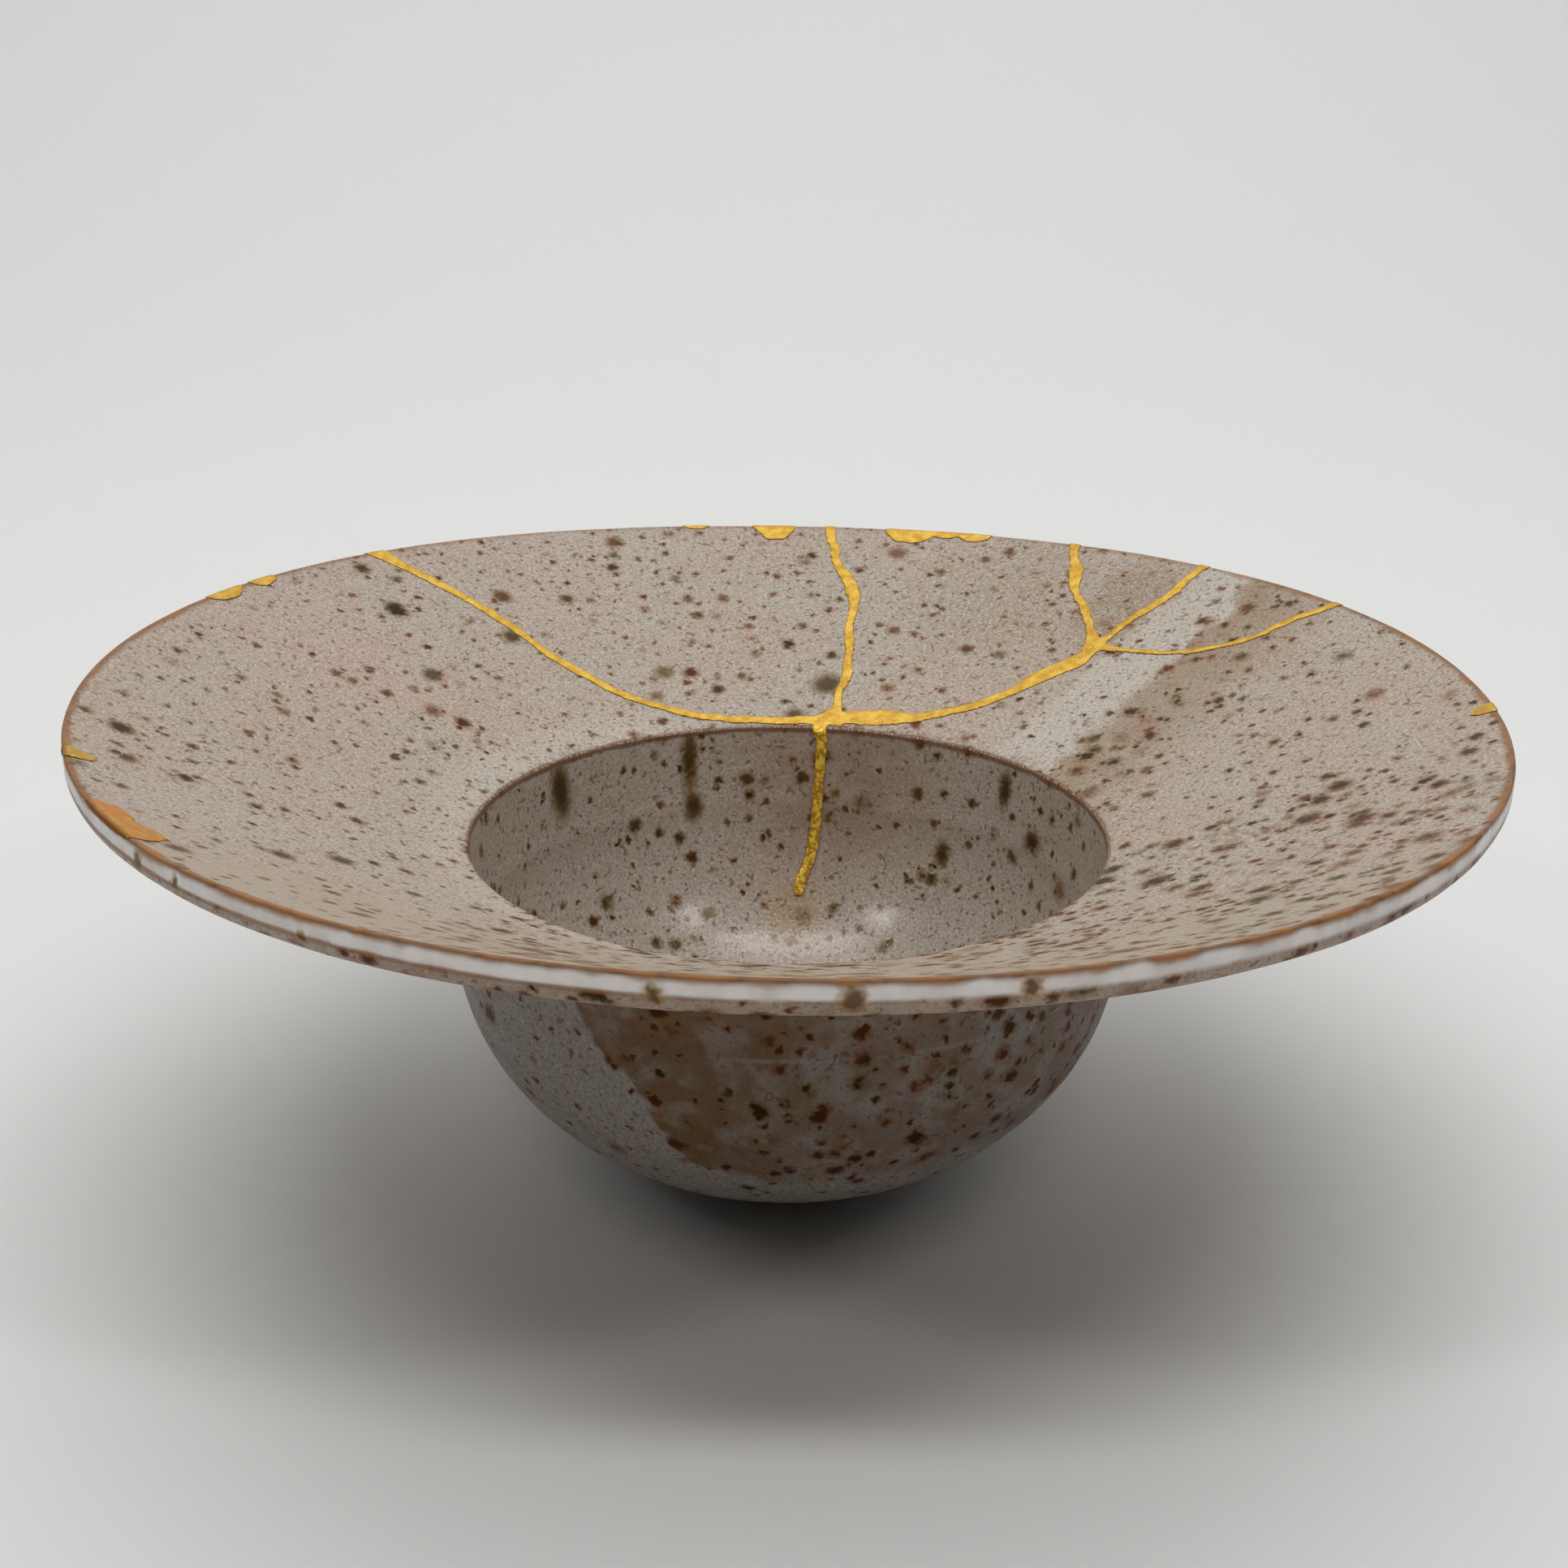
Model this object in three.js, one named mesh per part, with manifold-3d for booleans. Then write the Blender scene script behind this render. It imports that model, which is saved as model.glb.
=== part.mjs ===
// Wide-brimmed stoneware bowl whose back was broken into four sherds and mended with gold lacquer.
// Millimetres, +Z up. The origin is on the table under the centre of the foot; the front is at -Y.
import * as THREE from "three";
import { mergeVertices } from "three/addons/utils/BufferGeometryUtils.js";
import Module from "manifold-3d";

const wasm = await Module();
wasm.setup();

// Driving dimensions of the thrown pot
const RIM_RADIUS = 125;
const RIM_HEIGHT = 93.5; // mean height of the rim's upper edge
const RIM_FACE = 5; // height of the rim's outer face
const RIM_ROUNDING = 0.9; // how far the rounding reaches from the rim's two edges
const BRIM_RISE = 27.6; // from the well's edge up to the rim
const BRIM_SAG = 0.6; // how far the brim dishes below a straight cone
const BRIM_WALL = 5.8; // upright thickness of the brim at its root
const WELL_RADIUS = 57.8; // at the sharp edge where the brim turns down into the well
const WELL_EDGE_ROUNDING = 0.5;
const WELL_TAPER = 1.6; // how far the well's wall closes in below its edge
const NECK_DROP = 17.1; // from the well's edge down to where the wall starts to curve in
const WALL = 4.7;
const FLOOR_THICKNESS = 4.8;
const ROOT_FILLET = 11; // reach of the hollow under the brim
const FOOT_RADIUS = 19;
const FOOT_WIDTH = 4.4;
const FOOT_TAPER = 0.6;
const FOOT_ROUNDING = 0.5;
const FOOT_RECESS = 1.2;
// Slow waves of the hand-thrown rim: the first three turns round the pot, as multiples of the wave's height
const WAVE_HEIGHT = 1.2;
const RIM_WAVES = [
  { turns: 1, cosine: -1, sine: -0.85 },
  { turns: 2, cosine: 0.5, sine: 0.1 },
  { turns: 3, cosine: -0.05, sine: 0.65 },
];
const WAVE_GROWTH = 1.5; // the power by which the waves grow from the well's edge to the rim

// The mend
const SEAM_WIDTH = 2.2;
const GOLD_PROUD = 0.45; // height of the lacquer over the glaze, inside and outside
const JOINT_GAP = 0.3; // between the lacquer and each sherd
const HUB_SHARE = 0.035; // how far up the brim the break round the well runs
const HUB_LEAN = 0.45; // extra lean of the breaks close to the well, where they leave under the brim
const HUB_LEAN_FADE = 6; // the power by which that lean fades away towards the rim
const BEYOND_RIM = 1.06; // the share at which a break that crosses the rim ends, clear of it

// Each break runs over the brim. A stop is [share of the way from the well's edge to the rim, degrees,
// multiple of the seam's width].
const BREAKS = {
  left: [
    [HUB_SHARE, 80, 1.6], [HUB_SHARE, 90, 1.1], [HUB_SHARE, 99, 1.1], [0.065, 108, 1.05], [0.145, 115.7, 1],
    [0.27, 121.7, 1], [0.42, 125.6, 1.05], [0.6, 128.3, 1.05], [0.77, 131.1, 1.1], [0.9, 133.6, 1.2],
    [BEYOND_RIM, 136.6, 2.5],
  ],
  middle: [
    [HUB_SHARE, 82.5, 2.9], [0.1, 81.8, 1.2], [0.17, 81.9, 0.9], [0.25, 81.3, 1], [0.37, 81.7, 1],
    [0.49, 82.5, 1], [0.6, 82.3, 1.1], [0.66, 82.4, 1.8], [0.73, 83.9, 1.4], [0.82, 85.3, 0.9],
    [0.92, 86, 1], [BEYOND_RIM, 86.4, 1.1],
  ],
  right: [
    [HUB_SHARE, 84, 1.6], [0.05, 73.5, 1.8], [0.1, 64.8, 1.2], [0.18, 57.8, 1.1], [0.29, 53.4, 1.2],
    [0.38, 51.2, 1.6], [0.46, 48.9, 1.5], [0.54, 48.6, 1.4],
  ],
  fork_back: [
    [0.52, 48.6, 1.5], [0.59, 50.4, 1.1], [0.71, 54.1, 1], [0.79, 56.6, 1.05], [0.86, 57.6, 1.4],
    [0.92, 59.4, 1.2], [BEYOND_RIM, 60.6, 1.2],
  ],
  fork_middle: [
    [0.53, 48.4, 1.1], [0.61, 47.9, 0.8], [0.71, 47.2, 0.9], [0.83, 46.1, 1.05], [0.92, 45.9, 1],
    [BEYOND_RIM, 45.3, 1.2],
  ],
  fork_right: [
    [0.54, 49, 1.1], [0.56, 43.8, 0.75], [0.6, 38.6, 0.75], [0.68, 34.1, 0.8], [0.77, 31.5, 0.85],
    [0.9, 30, 0.95], [BEYOND_RIM, 27.9, 1.1],
  ],
};

// The crack down the back of the well. A stop is [sideways and below the well's edge, as shares of the
// crack's length, and multiple of the seam's width].
const CRACK_LENGTH = 33.5;
const WELL_CRACK = [
  [0.173, -0.036, 1.1], [0.176, 0.06, 1.05], [0.182, 0.12, 0.95], [0.167, 0.33, 0.95], [0.155, 0.6, 1],
  [0.134, 0.78, 1], [0.075, 0.925, 0.95], [0.051, 1, 0.75],
];

// Flakes off the rim's upper edge, filled with lacquer. A lobe is [place along the rim from the flake's
// middle, span along the rim, reach inward, reach down], as multiples of a usual flake's span.
const FLAKE_SPAN = 10;
const FLAKES = [
  { name: "gold_fill_back_left_long", degrees: 155.2, lobes: [[0, 1.1, 0.34, 0.16]] },
  { name: "gold_fill_back_left_short", degrees: 149.9, lobes: [[0, 0.76, 0.3, 0.15]] },
  { name: "gold_fill_back_thin", degrees: 100.6, lobes: [[0, 0.56, 0.19, 0.12]] },
  { name: "gold_fill_back_half_moon", degrees: 92.5, lobes: [[0, 1.04, 0.62, 0.2]] },
  { name: "gold_fill_back_double", degrees: 77, lobes: [[0, 1.4, 0.6, 0.2], [-1.18, 1.1, 0.32, 0.16]] },
  { name: "gold_fill_right", degrees: -1.6, lobes: [[0, 0.46, 0.46, 0.15]] },
  { name: "gold_fill_left", degrees: -160.8, lobes: [[0, 0.46, 0.56, 0.14]] },
  { name: "gold_fill_front_left", degrees: -147, lobes: [[0, 1.3, 0.7, 0.2], [0.96, 1.4, 0.96, 0.22]] },
];

const SHERD_NAMES = ["sherd_back_left", "sherd_back_right", "sherd_right_small", "sherd_right_narrow"];

// How finely round forms are faceted
const TURN_SIDES = 72;
const BOWL_ARC_STEPS = 8;
const BRIM_STEPS = 4;
const CORNER_STEPS = 2;
const FILLET_STEPS = 4;
const LOBE_SIDES = 10;
const LEAST_SOLID_MM3 = 1; // smaller crumbs of a cut are dropped

const glaze = new THREE.MeshStandardMaterial({ color: 0xb9aea6, roughness: 0.45, metalness: 0 });
const gold = new THREE.MeshStandardMaterial({ color: 0xe0ae3a, roughness: 0.35, metalness: 1 });

const wellEdgeHeight = RIM_HEIGHT - BRIM_RISE;
const bellyHeight = wellEdgeHeight - NECK_DROP;
const innerBelly = WELL_RADIUS - WELL_TAPER;
const outerBelly = innerBelly + WALL;
const brimSlope = BRIM_RISE / (RIM_RADIUS - WELL_RADIUS);

function brimShare(radius) {
  return (radius - WELL_RADIUS) / (RIM_RADIUS - WELL_RADIUS);
}

function brimTop(radius) {
  const share = brimShare(radius);
  return wellEdgeHeight + BRIM_RISE * share - 4 * BRIM_SAG * share * (1 - share);
}

// Height that the rim's slow waves add at a point of the plan, growing from none at the well's edge
function rimWave(x, y) {
  const share = Math.max(0, brimShare(Math.hypot(x, y)));
  const angle = Math.atan2(y, x);
  const height = RIM_WAVES.reduce((sum, { turns, cosine, sine }) => {
    return sum + cosine * Math.cos(turns * angle) + sine * Math.sin(turns * angle);
  }, 0);
  return WAVE_HEIGHT * height * share ** WAVE_GROWTH;
}

// Points that round the corner between two neighbours, starting and ending a reach away from it
function roundedCorner(before, corner, after, reach, steps) {
  const start = corner.clone().add(before.clone().sub(corner).setLength(reach));
  const end = corner.clone().add(after.clone().sub(corner).setLength(reach));
  return new THREE.QuadraticBezierCurve(start, corner, end).getPoints(steps);
}

function quarterEllipse(radius, centreHeight, depth, fromRadius, steps) {
  const first = Math.asin(fromRadius / radius);
  return Array.from({ length: steps + 1 }, (_, i) => {
    const angle = first + ((Math.PI / 2 - first) * i) / steps;
    return new THREE.Vector2(radius * Math.sin(angle), centreHeight - depth * Math.cos(angle));
  });
}

// The pot's section, from the centre of the underside, out and up to the rim, and back down into the well
function bowlProfile() {
  const point = (radius, height) => new THREE.Vector2(radius, height);
  const foot = {
    hollow: point(FOOT_RADIUS - FOOT_WIDTH, FOOT_RECESS),
    inner: point(FOOT_RADIUS - FOOT_WIDTH, 0),
    outer: point(FOOT_RADIUS - FOOT_TAPER, 0),
  };
  const belly = quarterEllipse(outerBelly, bellyHeight, bellyHeight, FOOT_RADIUS, BOWL_ARC_STEPS);
  const root = point(outerBelly, brimTop(outerBelly) - BRIM_WALL);
  const fillet = Math.min(ROOT_FILLET, 0.9 * (root.y - bellyHeight));
  const rimLower = point(RIM_RADIUS, RIM_HEIGHT - RIM_FACE);
  const rimUpper = point(RIM_RADIUS, RIM_HEIGHT);
  const brim = Array.from({ length: BRIM_STEPS - 1 }, (_, i) => {
    const radius = RIM_RADIUS + ((WELL_RADIUS - RIM_RADIUS) * (i + 1)) / BRIM_STEPS;
    return point(radius, brimTop(radius));
  });
  const wellEdge = point(WELL_RADIUS, wellEdgeHeight);
  const wellDepth = bellyHeight - FOOT_RECESS - FLOOR_THICKNESS;
  const well = quarterEllipse(innerBelly, bellyHeight, wellDepth, 0, BOWL_ARC_STEPS);
  return [
    point(0, FOOT_RECESS),
    foot.hollow,
    foot.inner,
    ...roundedCorner(foot.inner, foot.outer, belly[0], FOOT_ROUNDING, CORNER_STEPS),
    ...belly,
    ...roundedCorner(belly.at(-1), root, rimLower, fillet, FILLET_STEPS),
    ...roundedCorner(root, rimLower, rimUpper, RIM_ROUNDING, CORNER_STEPS),
    ...roundedCorner(rimLower, rimUpper, brim[0], RIM_ROUNDING, CORNER_STEPS),
    ...brim,
    ...roundedCorner(brim.at(-1), wellEdge, well.at(-1), WELL_EDGE_ROUNDING, CORNER_STEPS),
    ...well.reverse(),
  ];
}

// The same section grown by a skin on every face, but for its two ends on the axis
function grownProfile(profile, skin) {
  return profile.map((at, i) => {
    if (i === 0 || i === profile.length - 1) return at.clone();
    const before = at.clone().sub(profile[i - 1]).normalize();
    const after = profile[i + 1].clone().sub(at).normalize();
    const along = before.clone().add(after).normalize();
    const outward = new THREE.Vector2(along.y, -along.x);
    return at.clone().addScaledVector(outward, skin / Math.max(0.5, along.dot(after)));
  });
}

// A three.js geometry as a solid that can be cut and joined
function solidFrom(geometry) {
  const bare = geometry.clone();
  for (const name of Object.keys(bare.attributes)) if (name !== "position") bare.deleteAttribute(name);
  const merged = mergeVertices(bare, 1e-4);
  const corners = merged.index.array;
  const faces = [];
  for (let i = 0; i < corners.length; i += 3) {
    const [a, b, c] = corners.subarray(i, i + 3);
    if (a !== b && b !== c && c !== a) faces.push(a, b, c);
  }
  const solid = new wasm.Mesh({
    numProp: 3,
    vertProperties: new Float32Array(merged.attributes.position.array),
    triVerts: new Uint32Array(faces),
  });
  return new wasm.Manifold(solid);
}

function geometryFrom(solid) {
  const { vertProperties, triVerts } = solid.getMesh();
  const geometry = new THREE.BufferGeometry();
  geometry.setAttribute("position", new THREE.BufferAttribute(vertProperties, 3));
  geometry.setIndex(new THREE.BufferAttribute(triVerts, 1));
  geometry.computeVertexNormals();
  return geometry;
}

function moveVertices(geometry, change) {
  const place = geometry.attributes.position;
  const vertex = new THREE.Vector3();
  for (let i = 0; i < place.count; i++) {
    change(vertex.fromBufferAttribute(place, i));
    place.setXYZ(i, vertex.x, vertex.y, vertex.z);
  }
  return geometry;
}

function thrown(profile) {
  const turned = new THREE.LatheGeometry(profile, TURN_SIDES).rotateX(Math.PI / 2);
  return solidFrom(moveVertices(turned, (vertex) => (vertex.z += rimWave(vertex.x, vertex.y))));
}

// The outline of a line of changing width, as a flat shape
function ribbonShape(stops, margin) {
  const sides = { left: [], right: [] };
  stops.forEach(({ at, width }, i) => {
    const next = stops[Math.min(i + 1, stops.length - 1)].at;
    const previous = stops[Math.max(i - 1, 0)].at;
    const along = next.clone().sub(previous).normalize();
    const across = new THREE.Vector2(-along.y, along.x).multiplyScalar(width / 2 + margin);
    const isEnd = i === 0 ? -1 : i === stops.length - 1 ? 1 : 0;
    const middle = at.clone().addScaledVector(along, isEnd * margin);
    sides.left.push(middle.clone().add(across));
    sides.right.push(middle.clone().sub(across));
  });
  return new THREE.Shape([...sides.right, ...sides.left.reverse()]);
}

// Where a break that shows at a given radius on the brim has got to at a given height in the wall: it runs
// square to the brim's slope, and leans out further close to the well.
function breakRadius(radius, height) {
  const lean = brimSlope + HUB_LEAN * Math.max(0, 1 - brimShare(radius)) ** HUB_LEAN_FADE;
  return radius + lean * (brimTop(radius) - height);
}

function brimBreak(route, margin) {
  const stops = route.map(([share, degrees, width]) => {
    const radius = WELL_RADIUS + share * (RIM_RADIUS - WELL_RADIUS);
    const angle = THREE.MathUtils.degToRad(degrees);
    const at = new THREE.Vector2(radius * Math.cos(angle), radius * Math.sin(angle));
    return { at, width: width * SEAM_WIDTH };
  });
  const below = 2 * BRIM_WALL;
  const depth = BRIM_RISE + below + RIM_FACE;
  const slab = new THREE.ExtrudeGeometry(ribbonShape(stops, margin), { depth, bevelEnabled: false });
  slab.translate(0, 0, wellEdgeHeight - below);
  moveVertices(slab, (vertex) => {
    const radius = Math.hypot(vertex.x, vertex.y);
    const moved = breakRadius(radius, vertex.z);
    vertex.x *= moved / radius;
    vertex.y *= moved / radius;
  });
  return solidFrom(slab);
}

// The crack goes through the well's back wall, and ends inside the break that runs round the well.
function wellCrack(margin) {
  const stops = WELL_CRACK.map(([sideways, down, width]) => ({
    at: new THREE.Vector2(sideways, -down).multiplyScalar(CRACK_LENGTH),
    width: width * SEAM_WIDTH,
  }));
  const slab = new THREE.ExtrudeGeometry(ribbonShape(stops, margin), { depth: 1, bevelEnabled: false });
  // The flat shape's own up becomes the pot's up, and its thickness runs from the well out through the wall.
  slab.rotateX(Math.PI / 2).translate(0, 1, wellEdgeHeight);
  const hubRadius = WELL_RADIUS + HUB_SHARE * (RIM_RADIUS - WELL_RADIUS);
  moveVertices(slab, (vertex) => {
    vertex.y = vertex.y < 0.5 ? innerBelly / 2 : breakRadius(hubRadius, vertex.z);
  });
  return solidFrom(slab);
}

function allBreaks(margin) {
  return Object.values(BREAKS)
    .map((route) => brimBreak(route, margin))
    .reduce((joined, solid) => joined.add(solid), wellCrack(margin));
}

// A shell-shaped flake under the rim's upper edge
function flake({ degrees, lobes }, margin) {
  return lobes
    .map((lobe) => {
      const [along, span, inward, down] = lobe.map((share) => share * FLAKE_SPAN);
      const angle = THREE.MathUtils.degToRad(degrees) + along / RIM_RADIUS;
      const x = RIM_RADIUS * Math.cos(angle);
      const y = RIM_RADIUS * Math.sin(angle);
      const shell = new THREE.SphereGeometry(1, LOBE_SIDES, LOBE_SIDES / 2);
      shell.scale(inward + margin, span / 2 + margin, down + margin);
      shell.rotateY(-Math.atan(brimSlope)).rotateZ(angle).translate(x, y, RIM_HEIGHT + rimWave(x, y));
      return solidFrom(shell);
    })
    .reduce((joined, solid) => joined.add(solid));
}

// Splits a cut pot into its body, which is the largest solid, and its sherds from left to right
function sortedSherds(ceramic) {
  const middleAngle = (solid) => {
    const { min, max } = solid.boundingBox();
    return Math.atan2(min[1] + max[1], min[0] + max[0]);
  };
  const solids = ceramic.decompose().filter((solid) => solid.volume() > LEAST_SOLID_MM3);
  const [body, ...sherds] = solids.sort((a, b) => b.volume() - a.volume());
  return { body, sherds: sherds.sort((a, b) => middleAngle(b) - middleAngle(a)) };
}

function named(name, solid, material) {
  const mesh = new THREE.Mesh(geometryFrom(solid), material);
  mesh.name = name;
  return mesh;
}

const profile = bowlProfile();
const pot = thrown(profile);
const lacquerSkin = thrown(grownProfile(profile, GOLD_PROUD));

const cuts = FLAKES.map((place) => flake(place, JOINT_GAP))
  .reduce((joined, solid) => joined.add(solid), allBreaks(JOINT_GAP));
const { body, sherds } = sortedSherds(pot.subtract(cuts));

const bowl = new THREE.Group();
bowl.add(named("bowl_body", body, glaze));
sherds.forEach((sherd, i) => bowl.add(named(SHERD_NAMES[i] ?? `sherd_${i + 1}`, sherd, glaze)));
bowl.add(named("gold_seams", lacquerSkin.intersect(allBreaks(0)), gold));
for (const place of FLAKES) {
  const fill = lacquerSkin.intersect(flake(place, 0)).subtract(allBreaks(JOINT_GAP));
  bowl.add(named(place.name, fill, gold));
}

export default bowl;
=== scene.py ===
"""A wide-brimmed stoneware bowl, broken at the back and mended with gold lacquer.

The pot is thrown as a spun profile and broken into its body and four sherds. The breaks, the crack in the
well and the flaked places on the rim are then filled with gold.
"""

import math

import bmesh
import bpy
from bpy.props import FloatProperty, FloatVectorProperty, PointerProperty
from mathutils import Matrix, Vector, noise
from mathutils.bvhtree import BVHTree


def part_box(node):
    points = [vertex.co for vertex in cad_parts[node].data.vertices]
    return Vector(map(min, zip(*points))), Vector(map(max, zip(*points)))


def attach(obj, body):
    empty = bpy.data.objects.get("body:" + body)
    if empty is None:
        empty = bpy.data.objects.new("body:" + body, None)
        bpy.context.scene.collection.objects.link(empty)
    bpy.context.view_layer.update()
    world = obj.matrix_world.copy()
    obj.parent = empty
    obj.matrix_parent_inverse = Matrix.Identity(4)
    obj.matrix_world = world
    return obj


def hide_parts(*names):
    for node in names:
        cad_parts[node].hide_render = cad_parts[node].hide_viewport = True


bl_info = {
    "name": "Kintsugi Bowl",
    "version": (1, 0, 0),
    "blender": (4, 5, 0),
    "location": "3D View > Sidebar > Kintsugi",
    "description": "Throws a wide-brimmed stoneware bowl, breaks it and mends it with gold",
    "category": "Add Mesh",
}

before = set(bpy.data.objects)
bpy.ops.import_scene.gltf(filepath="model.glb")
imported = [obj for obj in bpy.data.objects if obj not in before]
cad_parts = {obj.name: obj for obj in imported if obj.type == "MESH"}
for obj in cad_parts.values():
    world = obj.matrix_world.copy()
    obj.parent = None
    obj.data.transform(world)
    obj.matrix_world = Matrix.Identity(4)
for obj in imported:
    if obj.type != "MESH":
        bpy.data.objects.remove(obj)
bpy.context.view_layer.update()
POT_LOW, POT_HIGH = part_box("bowl_body")
MM = 0.001

# Slow waves of the hand-thrown rim: turns round the pot, cosine and sine part, as shares of the wave's height
RIM_WAVES = ((1, -1.0, -0.85), (2, 0.5, 0.1), (3, -0.05, 0.65))
WAVE_GROWTH = 1.5  # the power by which they grow from the well's edge to the rim

# The thrown surface, in millimetres: rings as height, length and phase, lines round the pot as place above
# the table, half width and height, and slow unevenness as height and size
THROWING_RINGS = ((0.02, 1.15, 0), (0.015, 0.67, 1))
NECK_LINE = (50, 0.7, 0.32)
TRIMMING_LINE = (6.5, 0.6, -0.25)
UNEVENNESS = ((0.13, 24), (0.05, 9))

# Heights between which the foot's true surface passes into the uneven one, and the gold's shell leaves it
RELIEF_STARTS = (3 * MM, 6 * MM)
UNEVEN_STARTS = (3 * MM, 8 * MM)
SKIN_STARTS = (18 * MM, 24 * MM)

# How finely the pot is drawn
SIDES = 256
PROFILE_STEP = 1.7 * MM
BRIM_STEPS = 41
SHARP_ANGLE = math.radians(40)

FOOT_INNER_DRAFT = 0.4 * MM
FOOT_OUTER_DRAFT = 0.6 * MM
INSIDE_BLEND = 0.8 * MM  # how softly the inside passes into the outside, in the middle of the wall
BREAK_INSET = 0.35 * MM  # how much narrower on each side the breaks are in the clay than in the gold
FLAKE_INSET = 0.05 * MM

# The breaks' edges, in millimetres: distance between points, and how they stray, as weight and length
POINTS_APART = 0.45
STRAYING = ((0.9, 4.5), (0.7, 1.9), (0.6, 0.9))
EDGE_OFFSET = 11.3  # how far to each side the two edges of a break lie in the noise
BREAKS_APART = 7.7  # how far apart two breaks lie in it
CRACK_PLACE = 50  # where the crack lies in it
CRACK_STRAYING = 0.6  # the crack's raggedness, as a share of the breaks'
LEAN_FADE = 6  # the power by which the breaks' extra lean fades from the well's edge to the rim
FLAKE_LUMPS = 2.2  # how closely the lumps on a flake's outline follow each other
FLAKE_UNEVENNESS = 0.12

# Each break runs over the brim. A stop is share of the way from the well's edge to the rim, degrees, and
# width in millimetres.
HUB = 0.035  # where the breaks meet over the crack
PAST_RIM = 1.05  # where a break that crosses the rim ends
BREAKS = {
    "left": (
        (HUB, 80, 3.2), (0.032, 86, 2.3), (0.028, 92, 2.1), (0.036, 99, 2.1), (0.065, 107.8, 2.0),
        (0.144, 115.7, 1.9), (0.2, 119.2, 2.0), (0.263, 121.6, 1.8), (0.34, 123.9, 2.1),
        (0.414, 125.7, 2.2), (0.5, 127, 2.0), (0.594, 128.2, 2.2), (0.68, 129.6, 2.2), (0.763, 131.1, 2.1),
        (0.84, 132.6, 2.4), (0.908, 133.9, 2.3), (0.965, 134.9, 3.6), (PAST_RIM, 136.4, 6.2),
    ),
    "middle": (
        (HUB, 82.4, 7.0), (0.06, 82, 4.4), (0.095, 81.7, 2.3), (0.13, 81.9, 2.0), (0.169, 82.0, 1.8),
        (0.21, 81.4, 2.1), (0.254, 81.2, 2.3), (0.31, 81.6, 2.1), (0.37, 81.7, 2.0), (0.43, 82.2, 2.2),
        (0.488, 82.4, 2.0), (0.56, 82.3, 2.1), (0.62, 82.5, 2.6), (0.65, 82.8, 3.2), (0.69, 83.3, 3.0),
        (0.726, 83.9, 2.8), (0.77, 84.9, 2.1), (0.817, 85.4, 2.0), (0.88, 85.7, 2.1), (0.93, 86.2, 2.3),
        (PAST_RIM, 86.5, 2.6),
    ),
    "right": (
        (HUB, 85, 3.4), (0.052, 79, 3.8), (0.064, 73.5, 4.6), (0.072, 70, 4.0), (0.08, 67, 3.0),
        (0.1, 64.6, 2.5), (0.137, 61, 2.4), (0.177, 57.8, 2.5), (0.235, 55.2, 2.5), (0.293, 53.2, 2.7),
        (0.33, 52.4, 3.7), (0.383, 51.1, 4.2), (0.43, 49.6, 4.0), (0.468, 48.7, 4.1), (0.51, 48.4, 3.2),
        (0.545, 48.5, 3.4),
    ),
    "fork_back": (
        (0.52, 48.5, 3.6), (0.56, 49.3, 3.0), (0.589, 50.4, 2.4), (0.64, 52.0, 2.0), (0.711, 54.6, 2.1),
        (0.75, 56.1, 1.8), (0.793, 57.3, 2.4), (0.83, 57.8, 3.2), (0.861, 58.3, 3.5), (0.89, 58.9, 2.5),
        (0.916, 59.4, 2.1), (0.96, 60.1, 2.6), (PAST_RIM, 60.6, 3.2),
    ),
    "fork_middle": (
        (0.53, 48.5, 3.0), (0.565, 48.1, 1.9), (0.609, 47.8, 1.6), (0.66, 47.6, 1.8), (0.713, 47.2, 2.0),
        (0.77, 46.5, 2.0), (0.83, 46.0, 2.3), (0.91, 45.9, 2.0), (0.96, 45.7, 2.4), (PAST_RIM, 45.3, 3.4),
    ),
    "fork_right": (
        (0.54, 49, 3.0), (0.55, 45.8, 1.7), (0.559, 43.6, 1.4), (0.575, 41, 1.5), (0.596, 38.6, 1.3),
        (0.635, 36.1, 1.6), (0.681, 34.1, 1.4), (0.72, 32.8, 1.6), (0.768, 31.5, 1.5), (0.83, 30.9, 1.9),
        (0.893, 30.1, 1.9), (0.94, 29.2, 1.7), (PAST_RIM, 27.8, 2.4),
    ),
}

# The crack down the back of the well: millimetres sideways and below the well's edge, and width
WELL_CRACK = (
    (5.8, -1.5, 2.6), (5.8, 0.5, 2.8), (6.2, 2.2, 2.1), (6.1, 5.0, 1.9), (5.9, 8.0, 2.1), (5.6, 11.0, 2.0),
    (5.5, 15.0, 2.2), (5.2, 19.8, 2.1), (4.9, 23.0, 2.3), (4.4, 26.4, 2.2), (3.4, 29.0, 2.0),
    (2.5, 31.2, 2.2), (1.8, 33.4, 2.0), (1.6, 34.3, 1.2),
)

# Flakes off the rim's upper edge: the CAD node they stand for, degrees, and lobes of place along the rim,
# span, reach inward and reach down in millimetres
FLAKES = (
    ("gold_fill_back_left_long", 155.2, ((0, 11, 3.4, 1.5),)),
    ("gold_fill_back_left_short", 149.9, ((0, 7.8, 3.0, 1.4),)),
    ("gold_fill_back_thin", 100.4, ((0, 6.4, 1.9, 1.2),)),
    ("gold_fill_back_half_moon", 91.9, ((0.4, 9.4, 6.0, 2.0), (3.2, 5.6, 2.8, 1.4))),
    ("gold_fill_back_double", 77.4, ((1, 12.5, 5.6, 2.0), (-6.5, 9, 3.0, 1.5), (-13.5, 8.6, 3.6, 1.5))),
    ("gold_fill_right", -1.6, ((0, 4.6, 5.0, 0.8),)),
    ("gold_fill_left", -160.8, ((0, 5.0, 6.2, 0.8),)),
    ("gold_fill_front_left", -147.4, ((0, 12, 6.6, 0.9), (7.6, 13, 9.4, 0.9))),
)

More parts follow.
